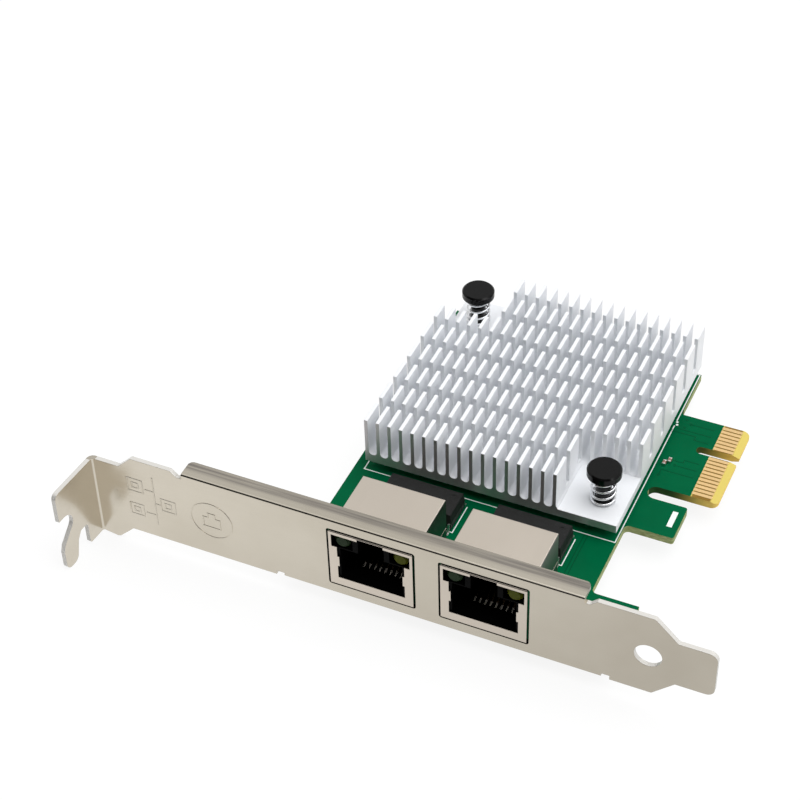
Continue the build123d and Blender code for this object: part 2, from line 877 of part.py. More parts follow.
# Transformer packages: moulded with draft above and below the leads
mag_y = mag_front + mag_d / 2
with BuildPart() as magnetics_left:
    with BuildSketch(card.offset(mag_split)):
        with Locations((mag_x, mag_y)):
            Rectangle(mag_w, mag_d)
    extrude(amount=mag_h - mag_split, taper=mag_draft)
    with BuildSketch(card.offset(mag_split)):
        with Locations((mag_x, mag_y)):
            Rectangle(mag_w, mag_d)
    extrude(amount=-(mag_split - mag_stand), taper=mag_draft)
    with BuildSketch(card.offset(mag_h)):
        with Locations((mag_x + mag_w / 2 - dimple_inset, mag_y + mag_d / 2 - dimple_inset)):
            RegularPolygon(dimple_r, dimple_sides)
    extrude(amount=-dimple_depth, mode=Mode.SUBTRACT)
magnetics_left.part.label = "magnetics_left"
export_step(magnetics_left.part, "parts/magnetics_left.step")

with BuildPart() as magnetics_right:
    with Locations((port_pitch, 0, 0)):
        add(magnetics_left.part)
magnetics_right.part.label = "magnetics_right"
export_step(magnetics_right.part, "parts/magnetics_right.step")

# Gull-wing leads of both packages, from the parting line down to the board
lead_root = mag_y + mag_d / 2
with BuildPart() as lead:
    with BuildSketch(side.offset(-lead_w / 2)):
        with BuildLine():
            Polyline(
                (lead_root, mag_split),
                (lead_root + lead_foot / 2, mag_split),
                (lead_root + lead_reach - lead_foot, lead_t),
                (lead_root + lead_reach, lead_t),
                (lead_root + lead_reach, 0),
                (lead_root + lead_reach - lead_foot - lead_t, 0),
                (lead_root + lead_foot / 2 - lead_t, mag_split - lead_t),
                (lead_root, mag_split - lead_t),
                close=True,
            )
        make_face()
    extrude(amount=lead_w)

with BuildPart() as magnetics_leads:
    with Locations(
        *[
            (x + lead_pitch * (i - (lead_count - 1) / 2), 0, 0)
            for x in (mag_x, mag_x + port_pitch)
            for i in range(lead_count)
        ]
    ):
        add(lead.part)
    mirror(about=Plane(origin=(0, mag_y - key_y, 0), z_dir=(0, 1, 0)))
magnetics_leads.part.label = "magnetics_leads"
export_step(magnetics_leads.part, "parts/magnetics_leads.step")

# Heatsink: ribbed section with round channel bottoms, cut across into rows, then two corner pockets
# milled flat just below the channels
with BuildPart() as heatsink:
    with BuildSketch(face.offset(-sink_front)):
        with Locations((sink_left, sink_low)):
            Rectangle(sink_size, sink_high - sink_low, align=(Align.MIN, Align.MIN))
        with Locations(
            *[
                (sink_left + fin_t + channel_r + i * fin_pitch, channel_floor + channel_r)
                for i in range(fin_count - 1)
            ]
        ):
            Circle(channel_r, mode=Mode.SUBTRACT)
            Rectangle(
                2 * channel_r,
                sink_high - channel_floor,
                align=(Align.CENTER, Align.MIN),
                mode=Mode.SUBTRACT,
            )
    extrude(amount=-sink_size)
    with BuildSketch(card.offset(cut_floor)):
        with Locations(
            *[
                (sink_x, sink_front + first_row + cut_w / 2 + i * cut_pitch)
                for i in range(cut_count)
            ]
        ):
            Rectangle(sink_size + 2 * fin_t, cut_w)
    extrude(amount=sink_high - cut_floor, mode=Mode.SUBTRACT)
    with BuildSketch(card.offset(pocket_floor)):
        for s in (-1, 1):
            with Locations(
                (
                    sink_x + s * (sink_size / 2 - pocket_w + (pocket_w + 2 * pocket_r) / 2),
                    sink_y - s * (sink_size / 2 - pocket_d + (pocket_d + 2 * pocket_r) / 2),
                )
            ):
                RectangleRounded(pocket_w + 2 * pocket_r, pocket_d + 2 * pocket_r, pocket_r)
    extrude(amount=sink_high - pocket_floor, mode=Mode.SUBTRACT)
    with BuildSketch(card.offset(sink_low)):
        with Locations(*pin_places):
            Circle(pin_r + pin_gap)
    extrude(amount=pocket_floor - sink_low, mode=Mode.SUBTRACT)
heatsink.part.label = "heatsink"
export_step(heatsink.part, "parts/heatsink.step")

# Push-pins: flat head, shank through heatsink and board, split barbed tip
pin_neck = pin_head_top - pin_head_h
pin_foot = card.origin + Vector(*pin_places[0], 0)
with BuildPart() as push_pins:
    with BuildSketch(Plane(origin=pin_foot, x_dir=(1, 0, 0), z_dir=(0, -1, 0))):
        with BuildLine():
            Polyline(
                (0, pin_head_top),
                (pin_head_r - pin_head_edge, pin_head_top),
                (pin_head_r, pin_head_top - pin_head_edge),
                (pin_head_r, pin_neck),
                (pin_r, pin_neck),
                (pin_r, -board_t),
                (barb_r, -board_t),
                (barb_r, -board_t - barb_land),
                (barb_tip_r, -board_t - barb_l),
                (0, -board_t - barb_l),
                close=True,
            )
        make_face()
    revolve(axis=Axis(pin_foot, (0, 0, 1)))
    with BuildSketch(card.offset(-board_t - barb_l)):
        with Locations(pin_places[0]):
            Rectangle(split_w, 2 * barb_r + 1)
    extrude(amount=barb_l + split_up, mode=Mode.SUBTRACT)
    with Locations(
        (pin_places[1][0] - pin_places[0][0], pin_places[1][1] - pin_places[0][1], 0)
    ):
        add(push_pins.part)
push_pins.part.label = "push_pins"
export_step(push_pins.part, "parts/push_pins.step")

# Springs between the heatsink's base and the pin heads
spring_low = pocket_floor + spring_wire_r + spring_gap
spring_height = pin_neck - spring_wire_r - spring_gap - spring_low
with BuildPart() as push_pin_springs:
    with BuildLine() as coil_line:
        Helix(
            pitch=spring_height / spring_turns,
            height=spring_height,
            radius=spring_r,
            center=card.origin + Vector(*pin_places[0], spring_low),
        )
    with BuildSketch(Plane(origin=coil_line.line @ 0, z_dir=coil_line.line % 0)):
        RegularPolygon(spring_wire_r, spring_wire_sides)
    sweep()
    with Locations(
        (pin_places[1][0] - pin_places[0][0], pin_places[1][1] - pin_places[0][1], 0)
    ):
        add(push_pin_springs.part)
push_pin_springs.part.label = "push_pin_springs"
export_step(push_pin_springs.part, "parts/push_pin_springs.step")

# Controller under the heatsink, and the pad that couples them
with BuildPart() as controller_chip:
    with BuildSketch(card):
        with Locations((sink_x, sink_y)):
            Rectangle(chip_size, chip_size)
    extrude(amount=chip_base_h)
    with BuildSketch(card.offset(chip_base_h)):
        with Locations((sink_x, sink_y)):
            Rectangle(chip_cap_size, chip_cap_size)
    extrude(amount=chip_h - chip_base_h, taper=chip_draft)
controller_chip.part.label = "controller_chip"
export_step(controller_chip.part, "parts/controller_chip.step")

with BuildPart() as thermal_pad:
    with BuildSketch(card.offset(chip_h)):
        with Locations((sink_x, sink_y)):
            RectangleRounded(pad_size, pad_size, pad_r)
    extrude(amount=sink_low - chip_h)
thermal_pad.part.label = "thermal_pad"
export_step(thermal_pad.part, "parts/thermal_pad.step")

# Configuration memory in an eight-lead package
with BuildPart() as flash_chip:
    with BuildSketch(card.offset(mag_stand)):
        with Locations(flash_place):
            Rectangle(flash_w, flash_d)
    extrude(amount=flash_h - mag_stand, taper=mag_draft)
flash_chip.part.label = "flash_chip"
export_step(flash_chip.part, "parts/flash_chip.step")

with BuildPart() as flash_leads:
    with BuildSketch(card):
        with Locations(flash_place):
            with GridLocations(lead_pitch, flash_d + lead_foot, flash_leads_count // 2, 2):
                Rectangle(lead_w, lead_foot)
    extrude(amount=flash_lead_h)
flash_leads.part.label = "flash_leads"
export_step(flash_leads.part, "parts/flash_leads.step")

# Clock crystal: a lid with rounded corners on a ceramic base
with BuildPart() as crystal_can:
    with BuildSketch(card):
        with Locations(crystal_place):
            Rectangle(crystal_w, crystal_d)
    extrude(amount=crystal_h / 2)
    with BuildSketch(card.offset(crystal_h / 2)):
        with Locations(crystal_place):
            RectangleRounded(crystal_w - crystal_rim, crystal_d - crystal_rim, crystal_rim)
    extrude(amount=crystal_h / 2)
crystal_can.part.label = "crystal_can"
export_step(crystal_can.part, "parts/crystal_can.step")

# Supply regulator: body with a wide tab on one side and three leads on the other
with BuildPart() as regulator:
    with BuildSketch(card):
        with Locations((regulator_x, regulator_y)):
            Rectangle(regulator_w, regulator_d)
    extrude(amount=regulator_h, taper=mag_draft)
regulator.part.label = "regulator"
export_step(regulator.part, "parts/regulator.step")

with BuildPart() as regulator_leads:
    with BuildSketch(card):
        with Locations((regulator_x, regulator_y + regulator_d / 2)):
            Rectangle(regulator_w / 2, regulator_foot, align=(Align.CENTER, Align.MIN))
        with Locations((regulator_x, regulator_y - (regulator_d + regulator_foot) / 2)):
            with GridLocations(regulator_w / 3, 1, 3, 1):
                Rectangle(regulator_lead_w, regulator_foot)
    extrude(amount=flash_lead_h)
regulator_leads.part.label = "regulator_leads"
export_step(regulator_leads.part, "parts/regulator_leads.step")

# Supply inductor: a square shielded coil with cut corners
with BuildPart() as inductor:
    with BuildSketch(card):
        with Locations(coil_place):
            Rectangle(coil_w, coil_w)
        chamfer(vertices(), length=coil_corner)
    extrude(amount=coil_h)
    with BuildSketch(card.offset(coil_h)):
        with Locations(coil_place):
            Circle(coil_ring_r)
            Circle(coil_core_r, mode=Mode.SUBTRACT)
    extrude(amount=-coil_ring_d, mode=Mode.SUBTRACT)
inductor.part.label = "inductor"
export_step(inductor.part, "parts/inductor.step")

# Chip capacitors along two sides of the controller, chip resistors along a third
chip_side = chip_size / 2 + chip_part_gap
with BuildPart() as capacitors:
    with BuildSketch(card):
        with Locations((sink_x, sink_y)):
            with GridLocations(
                2 * chip_side + capacitor_w, chip_size / capacitor_count, 2, capacitor_count
            ):
                Rectangle(capacitor_w, capacitor_l)
    extrude(amount=capacitor_h)
capacitors.part.label = "capacitors"
export_step(capacitors.part, "parts/capacitors.step")

with BuildPart() as resistors:
    with BuildSketch(card):
        with Locations((sink_x, sink_y - chip_side - resistor_l / 2)):
            with GridLocations(chip_size / resistor_count, 1, resistor_count, 1):
                Rectangle(resistor_w, resistor_l)
    extrude(amount=resistor_h)
resistors.part.label = "resistors"
export_step(resistors.part, "parts/resistors.step")
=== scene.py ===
# %% [markdown]
# # A two-port network card
#
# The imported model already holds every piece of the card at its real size, and nothing here moves it.
# What is left is what a solid can't say: the finish of each surface, the print, the solder, the
# round wire of the springs, and the light and the camera of the photograph. Blender's unit is the
# metre, so MM turns a millimetre into it. MARGIN is for regions that should reach past a piece.

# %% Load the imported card
import math

import bpy
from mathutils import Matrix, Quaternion, Vector


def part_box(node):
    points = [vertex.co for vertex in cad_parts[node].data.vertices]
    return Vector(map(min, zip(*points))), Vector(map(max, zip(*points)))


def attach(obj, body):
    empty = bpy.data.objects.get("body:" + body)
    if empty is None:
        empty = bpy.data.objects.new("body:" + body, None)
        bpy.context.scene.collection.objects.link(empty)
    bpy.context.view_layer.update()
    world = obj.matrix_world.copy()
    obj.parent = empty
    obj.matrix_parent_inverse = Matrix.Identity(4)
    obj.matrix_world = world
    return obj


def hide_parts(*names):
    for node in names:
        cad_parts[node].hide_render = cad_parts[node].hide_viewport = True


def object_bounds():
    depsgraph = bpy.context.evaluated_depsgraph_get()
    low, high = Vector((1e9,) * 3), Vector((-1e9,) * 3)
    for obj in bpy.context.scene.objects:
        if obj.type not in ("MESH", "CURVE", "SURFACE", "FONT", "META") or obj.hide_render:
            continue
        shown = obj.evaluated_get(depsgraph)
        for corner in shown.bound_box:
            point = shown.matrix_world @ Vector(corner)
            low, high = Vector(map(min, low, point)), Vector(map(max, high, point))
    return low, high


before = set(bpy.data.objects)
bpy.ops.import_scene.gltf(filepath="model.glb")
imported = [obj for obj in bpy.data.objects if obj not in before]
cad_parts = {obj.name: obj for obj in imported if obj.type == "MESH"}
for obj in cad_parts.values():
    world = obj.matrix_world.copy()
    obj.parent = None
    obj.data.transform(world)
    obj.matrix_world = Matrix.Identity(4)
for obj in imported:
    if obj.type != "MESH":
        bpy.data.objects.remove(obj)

MM = 0.001
MARGIN = 1 * MM
CAD_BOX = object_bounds()
print("pieces in the packed card:", len(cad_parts))

# %% [markdown]
# ## The camera
#
# The photograph looks down on the card at about 42 degrees, from a little to its right. A camera can be
# set by its place and its angles, or by the point that it looks at. The second way is easier to read
# and to change, so the camera here stands a known distance back from a point on the board.
# The small roll is the photographer's own.

# %% Set the camera
LOOK_AT = Vector((-66.15, -8.92, 0)) * MM
DISTANCE = 405.3 * MM
CLIP_START = DISTANCE / 100
AZIMUTH = math.radians(25.38)
ELEVATION = math.radians(42.03)
ROLL = math.radians(-1.885)
LENS_MM = 92.7

back = Vector(
    (
        math.sin(AZIMUTH) * math.cos(ELEVATION),
        -math.cos(AZIMUTH) * math.cos(ELEVATION),
        math.sin(ELEVATION),
    )
)
bpy.ops.object.camera_add(location=LOOK_AT + back * DISTANCE)
camera = bpy.context.object
camera.rotation_mode = "QUATERNION"
camera.rotation_quaternion = (-back).to_track_quat("-Z", "Y") @ Quaternion((0, 0, 1), ROLL)
camera.data.lens = LENS_MM
camera.data.clip_start = CLIP_START
bpy.context.scene.camera = camera
bpy.context.scene.view_settings.view_transform = "Standard"
print("camera at", [round(c / MM, 1) for c in camera.location], "mm")

# %% [markdown]
# ## Nodes for materials
#
# Each finish below is a few nodes, and short helpers keep them readable. The first three start a thing:
# a node with its inputs set by name, a material with its Principled BSDF, a node group with one
# output. The others place a group or a mix and return the socket that holds the result, so that calls
# can be put inside each other.

# %% Start nodes, materials and groups
def add_node(tree, kind, inputs=None, **properties):
    """Adds a node, sets its properties and then its inputs, which are given by name or number."""
    node = tree.nodes.new(kind)
    for key, value in properties.items():
        setattr(node, key, value)
    for key, value in (inputs or {}).items():
        node.inputs[key].default_value = value
    return node


def start_material(name, **shader_inputs):
    """A material with its Principled BSDF set. Constant values sit on the shader's own sockets."""
    material = bpy.data.materials.new(name)
    material.use_nodes = True
    shader = material.node_tree.nodes["Principled BSDF"]
    for key, value in shader_inputs.items():
        shader.inputs[key.replace("_", " ")].default_value = value
    return material, material.node_tree, shader


def start_group(name, output, **inputs):
    """A shader node group that puts out one number. An input is a vector if its value is a tuple."""
    tree = bpy.data.node_groups.new(name, "ShaderNodeTree")
    for label, value in inputs.items():
        kind = "NodeSocketVector" if isinstance(value, tuple) else "NodeSocketFloat"
        tree.interface.new_socket(label, in_out="INPUT", socket_type=kind).default_value = value
    tree.interface.new_socket(output, in_out="OUTPUT", socket_type="NodeSocketFloat")
    return tree, tree.nodes.new("NodeGroupInput"), tree.nodes.new("NodeGroupOutput")


# %% Place groups and mixes
def use_group(tree, group, **inputs):
    """Places a node group with its own values."""
    node = tree.nodes.new("ShaderNodeGroup")
    node.node_tree = group
    for key, value in inputs.items():
        node.inputs[key].default_value = value
    return node.outputs[0]


def mix_color(tree, first, second, factor):
    """Mixes two colours by a factor. Each may be a colour or another node's socket."""
    node = add_node(tree, "ShaderNodeMix", data_type="RGBA")
    for socket, value in ((node.inputs["A"], first), (node.inputs["B"], second)):
        if isinstance(value, bpy.types.NodeSocket):
            tree.links.new(value, socket)
        else:
            socket.default_value = (*value, 1)
    tree.links.new(factor, node.inputs["Factor"])
    return node.outputs["Result"]


def mix_shader(tree, factor, first, second):
    """Mixes the outputs of two shaders by a factor."""
    node = add_node(tree, "ShaderNodeMixShader")
    for number, output in enumerate((factor, first, second)):
        tree.links.new(output, node.inputs[number])
    return node.outputs[0]


def combine(tree, operation, first, second):
    """Combines two values by a Math node, and keeps the result between 0 and 1."""
    node = add_node(tree, "ShaderNodeMath", operation=operation, use_clamp=True)
    tree.links.new(first, node.inputs[0])
    tree.links.new(second, node.inputs[1])
    return node.outputs[0]


def ramp(tree, value, start, end, top=1.0, shape="SMOOTHSTEP"):
    """Maps a value to 0 at the start, rising to the top at the end."""
    limits = {"From Min": start, "From Max": end, "To Max": top}
    node = add_node(tree, "ShaderNodeMapRange", limits, interpolation_type=shape)
    tree.links.new(value, node.inputs["Value"])
    return node.outputs["Result"]


def grey(level):
    """A grey with its alpha."""
    return (level, level, level, 1)


# %% [markdown]
# ## The floor, the backdrop and the light
#
# The card lies on a plain white sheet that runs up into a white backdrop. A large plane under the card
# is enough for it, because the backdrop is the world's own colour. The plane is only stage.

# %% Lay the sheet
FLOOR_SIZE = 8.0

bpy.ops.mesh.primitive_plane_add(size=FLOOR_SIZE, location=(LOOK_AT.x, LOOK_AT.y, CAD_BOX[0].z))
floor = bpy.context.object
floor.name = "floor"

paper, tree, unused_shader = start_material("white_paper")
tree.nodes.remove(unused_shader)
floor.data.materials.append(paper)
print("floor at", round(CAD_BOX[0].z / MM, 2), "mm")

# %% [markdown]
# Paper that is lit until it is white would also light the card too much. So the sheet glows for the
# camera and for reflections, and only a little of its white is lit, which keeps the card's shadow.
# For all other light, such as what it throws back onto the card, it is plain white paper.

# %% Make the sheet glow
FLOOR_GLOW = 0.88
FLOOR_LIT = 0.14
FLOOR_WHITE = 0.8

rays = add_node(tree, "ShaderNodeLightPath").outputs
glow = add_node(tree, "ShaderNodeEmission", {"Strength": FLOOR_GLOW})
lit = add_node(tree, "ShaderNodeBsdfDiffuse", {"Color": grey(FLOOR_LIT)})
shown = add_node(tree, "ShaderNodeAddShader")
tree.links.new(glow.outputs[0], shown.inputs[0])
tree.links.new(lit.outputs[0], shown.inputs[1])
bounce = add_node(tree, "ShaderNodeBsdfDiffuse", {"Color": grey(FLOOR_WHITE)})
seen = combine(tree, "MAXIMUM", rays["Is Camera Ray"], rays["Is Glossy Ray"])
seen = combine(tree, "MAXIMUM", seen, rays["Is Transmission Ray"])
sheet = mix_shader(tree, seen, bounce.outputs[0], shown.outputs[0])
print("sheet glows by", FLOOR_GLOW)

# %% [markdown]
# The room in front of the bracket is nearly black. For reflections the sheet ends early there, so that
# the folded edges of plated metal pick up the dark room as fine lines, as they do in the photograph.
# Towards the bracket's tail the sheet is dimmer in reflections, because less of the light reaches it.

# %% Darken the sheet for reflections
SHEET_END_Y = (-72 * MM, -100 * MM)
SHEET_DIM_X = (-30 * MM, 70 * MM)
SHEET_DIM = 0.27

place = add_node(tree, "ShaderNodeTexCoord")
reach = add_node(tree, "ShaderNodeSeparateXYZ")
tree.links.new(place.outputs["Object"], reach.inputs[0])
sheet_end = ramp(tree, reach.outputs["Y"], *SHEET_END_Y)
dimmer = ramp(tree, reach.outputs["X"], *SHEET_DIM_X, SHEET_DIM, "LINEAR")
darker = combine(tree, "MAXIMUM", sheet_end, dimmer)
darker_in_gloss = combine(tree, "MULTIPLY", darker, rays["Is Glossy Ray"])
room_side = add_node(tree, "ShaderNodeBsdfDiffuse", {"Color": grey(0)})
surface = mix_shader(tree, darker_in_gloss, sheet, room_side.outputs[0])
tree.links.new(surface, tree.nodes["Material Output"].inputs["Surface"])
print("sheet ends between", [round(y / MM) for y in SHEET_END_Y], "mm")

# %% [markdown]
# The backdrop is white for the camera. For the card it is a studio that is a little darker than the
# sheet near the horizon and brighter overhead, and that turns dark in front, up to the height of the
# lamps. SKY lists its brightness by height, which is 0 at the horizon and 1 overhead. ROOM_Y and
# ROOM_Z are the parts of a direction between which the dark room sets in.

# %% Light the studio
SKY = [(0.0, 0.7), (0.2, 0.7), (0.5, 0.72), (0.75, 0.72), (1.0, 1.05)]
ROOM_DARK = 0.03
ROOM_Y = (-0.25, -0.45)
ROOM_Z = (0.84, 0.74)

world = bpy.data.worlds.new("studio")
bpy.context.scene.world = world
world.use_nodes = True
tree = world.node_tree
direction = add_node(tree, "ShaderNodeTexCoord")
parts = add_node(tree, "ShaderNodeSeparateXYZ")
tree.links.new(direction.outputs["Generated"], parts.inputs[0])
heights = add_node(tree, "ShaderNodeValToRGB")
tree.links.new(parts.outputs["Z"], heights.inputs["Fac"])
elements = heights.color_ramp.elements
for height, _ in SKY[1:-1]:
    elements.new(height)
for element, (height, level) in zip(elements, SKY):
    element.position = height
    element.color = grey(level)

forward = ramp(tree, parts.outputs["Y"], *ROOM_Y)
below_lamps = ramp(tree, parts.outputs["Z"], *ROOM_Z)
room = combine(tree, "MULTIPLY", forward, below_lamps)
studio_color = mix_color(tree, heights.outputs["Color"], (ROOM_DARK,) * 3, room)
studio = tree.nodes["Background"]
tree.links.new(studio_color, studio.inputs["Color"])
white = add_node(tree, "ShaderNodeBackground", {"Color": grey(1)})
rays = add_node(tree, "ShaderNodeLightPath").outputs
backdrop = mix_shader(tree, rays["Is Camera Ray"], studio.outputs[0], white.outputs[0])
tree.links.new(backdrop, tree.nodes["World Output"].inputs["Surface"])
print("studio levels:", [level for _, level in SKY])

# %% [markdown]
# One large soft box hangs above the card, to its right, and is turned towards it. An area light that is
# nearly as large as it is far away gives the soft, weak shadow of the photograph.

# %% Hang the soft box
SOFTBOX_SIZE = 0.9
SOFTBOX_WATTS = 5.2
SOFTBOX_AT = Vector((0.30, 0.05, 0.80))

bpy.ops.object.light_add(type="AREA", location=SOFTBOX_AT)
softbox = bpy.context.object
softbox.data.size = SOFTBOX_SIZE
softbox.data.energy = SOFTBOX_WATTS
softbox.rotation_mode = "QUATERNION"
softbox.rotation_quaternion = (LOOK_AT - SOFTBOX_AT).to_track_quat("-Z", "Y")
print("soft box", round((SOFTBOX_AT - LOOK_AT).length, 2), "m from the card")

# %% [markdown]
# ## Effects that several finishes share
#
# Grain is noise in the card's own space, stretched along one axis where a sheet was rolled or a bar
# was drawn. It is a node group, and so are the two masks after it, so that every material can use
# them with its own values.

# %% Grain
grain_group, entry, leave = start_group(
    "grain", "Value", Scale=1000.0, Stretch=(1, 1, 1), Low=0.0, High=1.0
)
place = add_node(grain_group, "ShaderNodeTexCoord")
stretched = add_node(grain_group, "ShaderNodeVectorMath", operation="MULTIPLY")
noise = add_node(grain_group, "ShaderNodeTexNoise", {"Detail": 3.0, "Roughness": 0.6})
spread = add_node(grain_group, "ShaderNodeMapRange", {"From Min": 0.3, "From Max": 0.7})
grain_group.links.new(place.outputs["Object"], stretched.inputs[0])
grain_group.links.new(entry.outputs["Stretch"], stretched.inputs[1])
grain_group.links.new(stretched.outputs[0], noise.inputs["Vector"])
grain_group.links.new(entry.outputs["Scale"], noise.inputs["Scale"])
grain_group.links.new(noise.outputs["Fac"], spread.inputs["Value"])
grain_group.links.new(entry.outputs["Low"], spread.inputs["To Min"])
grain_group.links.new(entry.outputs["High"], spread.inputs["To Max"])
grain_group.links.new(spread.outputs["Result"], leave.inputs["Value"])
print("grain has", len(grain_group.nodes), "nodes")

# %% [markdown]
# A box mask picks out a region by its corners. It measures how deep a point lies inside the box, by the
# nearest of the six sides, and rises from 0 to 1 over the width of its edge.

# %% Box mask
box_group, entry, leave = start_group("box_mask", "Mask", Low=(0, 0, 0), High=(1, 1, 1), Edge=0.0001)
place = add_node(box_group, "ShaderNodeTexCoord")
above = add_node(box_group, "ShaderNodeVectorMath", operation="SUBTRACT")
below = add_node(box_group, "ShaderNodeVectorMath", operation="SUBTRACT")
nearest = add_node(box_group, "ShaderNodeVectorMath", operation="MINIMUM")
axes = add_node(box_group, "ShaderNodeSeparateXYZ")
box_group.links.new(place.outputs["Object"], above.inputs[0])
box_group.links.new(entry.outputs["Low"], above.inputs[1])
box_group.links.new(entry.outputs["High"], below.inputs[0])
box_group.links.new(place.outputs["Object"], below.inputs[1])
box_group.links.new(above.outputs[0], nearest.inputs[0])
box_group.links.new(below.outputs[0], nearest.inputs[1])
box_group.links.new(nearest.outputs[0], axes.inputs[0])
depth = combine(box_group, "MINIMUM", axes.outputs["X"], axes.outputs["Y"])
depth = combine(box_group, "MINIMUM", depth, axes.outputs["Z"])
edge = add_node(box_group, "ShaderNodeMapRange", interpolation_type="SMOOTHSTEP")
box_group.links.new(depth, edge.inputs["Value"])
box_group.links.new(entry.outputs["Edge"], edge.inputs["From Max"])
box_group.links.new(edge.outputs["Result"], leave.inputs["Mask"])
print("box mask has", len(box_group.nodes), "nodes")

# %% [markdown]
# A facing mask picks out faces by the way that they point, by comparing a face's normal with an axis.
# The sign is dropped, so the faces on both sides of a piece count.

# %% Facing mask
AXIS_X = (1, 0, 0)
AXIS_Y = (0, 1, 0)
AXIS_Z = (0, 0, 1)
FACING = (0.6, 0.8)
facing_group, entry, leave = start_group("facing_mask", "Mask", Axis=AXIS_Z)
normal = add_node(facing_group, "ShaderNodeTexCoord")
along = add_node(facing_group, "ShaderNodeVectorMath", operation="DOT_PRODUCT")
either_way = add_node(facing_group, "ShaderNodeMath", operation="ABSOLUTE")
facing_group.links.new(normal.outputs["Normal"], along.inputs[0])
facing_group.links.new(entry.outputs["Axis"], along.inputs[1])
facing_group.links.new(along.outputs["Value"], either_way.inputs[0])
faces = ramp(facing_group, either_way.outputs[0], *FACING, shape="LINEAR")
facing_group.links.new(faces, leave.inputs["Mask"])
print("node groups:", [group.name for group in bpy.data.node_groups])

# %% [markdown]
# Two steps end most finishes. Relief turns grain into a shallow bump. A cover lays another colour over
# what is there, where a mask says so, and can change the metal or the roughness with it.

# %% Relief and covers
def add_bump(tree, shader, height, depth_mm):
    """Raises a surface by a height between 0 and 1, times a depth in millimetres."""
    bump = add_node(tree, "ShaderNodeBump", {"Distance": depth_mm * MM, "Strength": 1.0})
    tree.links.new(height, bump.inputs["Height"])
    tree.links.new(bump.outputs["Normal"], shader.inputs["Normal"])
    return bump


def cover(material, mask, color, **shader_inputs):
    """Lays a colour, and other values of the shader, over a material where the mask is 1."""
    tree = material.node_tree
    shader = tree.nodes["Principled BSDF"]
    base = shader.inputs["Base Color"]
    tree.links.new(mix_color(tree, base.links[0].from_socket, color, mask), base)
    for label, value in shader_inputs.items():
        socket = shader.inputs[label]
        blend = add_node(tree, "ShaderNodeMix", {"A": socket.default_value, "B": value}, data_type="FLOAT")
        if socket.is_linked:
            tree.links.new(socket.links[0].from_socket, blend.inputs["A"])
        tree.links.new(mask, blend.inputs["Factor"])
        tree.links.new(blend.outputs["Result"], socket)


# %% [markdown]
# ## Metal
#
# Plated steel, tin plate, aluminium, gold and solder differ in colour, in how blurred they reflect and
# in the direction of their grain. One function makes them all: two close colours mixed by a broad
# cloudy grain, a roughness that wanders a little, and a shallow bump stretched along the rolling.
# A Bevel node rounds the cut edges in the light by a tenth of a millimetre, as deburring does.
# Blasted aluminium scatters light almost like white paint, so it counts as hardly metallic.

# %% Metal finishes
EDGE_ROUND = 0.10 * MM
CLOUD_SCALE = 60
ALONG_X = (0.06, 1, 1)
ALONG_Y = (1, 0.06, 1)
EVEN = (1, 1, 1)


def metal(name, color, shade, rough, wander, stretch, grain_scale, depth_mm, metallic=1.0):
    """A metal finish. stretch is under 1 along the grain, and rough goes up and down by wander."""
    material, tree, shader = start_material(name, Metallic=metallic)
    cloud = use_group(tree, grain_group, Scale=CLOUD_SCALE)
    tree.links.new(mix_color(tree, color, shade, cloud), shader.inputs["Base Color"])
    grain = {"Scale": grain_scale, "Stretch": stretch}
    fine = use_group(tree, grain_group, Low=rough - wander, High=rough + wander, **grain)
    tree.links.new(fine, shader.inputs["Roughness"])
    bump = add_bump(tree, shader, use_group(tree, grain_group, **grain), depth_mm)
    deburred = add_node(tree, "ShaderNodeBevel", {"Radius": EDGE_ROUND}, samples=6)
    tree.links.new(deburred.outputs["Normal"], bump.inputs["Normal"])
    return material


nickel_plate = metal(
    "nickel_plate", (0.64, 0.59, 0.50), (0.59, 0.54, 0.45), 0.20, 0.03, ALONG_X, 900, 0.0005
)
tin_plate = metal(
    "tin_plate", (0.70, 0.63, 0.545), (0.67, 0.60, 0.515), 0.30, 0.02, ALONG_Y, 1400, 0.0003
)
aluminium = metal(
    "aluminium", (0.94, 0.955, 0.98), (0.91, 0.93, 0.96), 0.42, 0.05, ALONG_Y, 1600, 0.003, metallic=0.04
)
gold_plate = metal("gold_plate", (1.0, 0.71, 0.36), (0.96, 0.66, 0.31), 0.34, 0.03, ALONG_X, 1200, 0.0004)
# The contact wires' colour is far darker than gold: painted shade of the deep socket.
contact_wire = metal(
    "contact_wire", (0.16, 0.11, 0.06), (0.12, 0.08, 0.045), 0.22, 0.05, ALONG_Y, 2500, 0.002
)
bright_wire = metal("bright_wire", (0.86, 0.87, 0.89), (0.82, 0.83, 0.85), 0.10, 0.03, EVEN, 3000, 0.001)
zinc_plate = metal("zinc_plate", (0.68, 0.69, 0.70), (0.60, 0.61, 0.63), 0.28, 0.06, EVEN, 1800, 0.003)
tinned = metal("tinned_lead", (0.74, 0.74, 0.73), (0.68, 0.68, 0.67), 0.30, 0.06, EVEN, 2500, 0.003)
solder = metal("solder", (0.72, 0.73, 0.74), (0.62, 0.63, 0.64), 0.22, 0.08, EVEN, 2500, 0.010)
crystal_lid = metal("crystal_lid", (0.72, 0.70, 0.66), (0.66, 0.64, 0.60), 0.30, 0.05, ALONG_X, 2500, 0.002)
print("materials, with the packed ones:", len(bpy.data.materials))
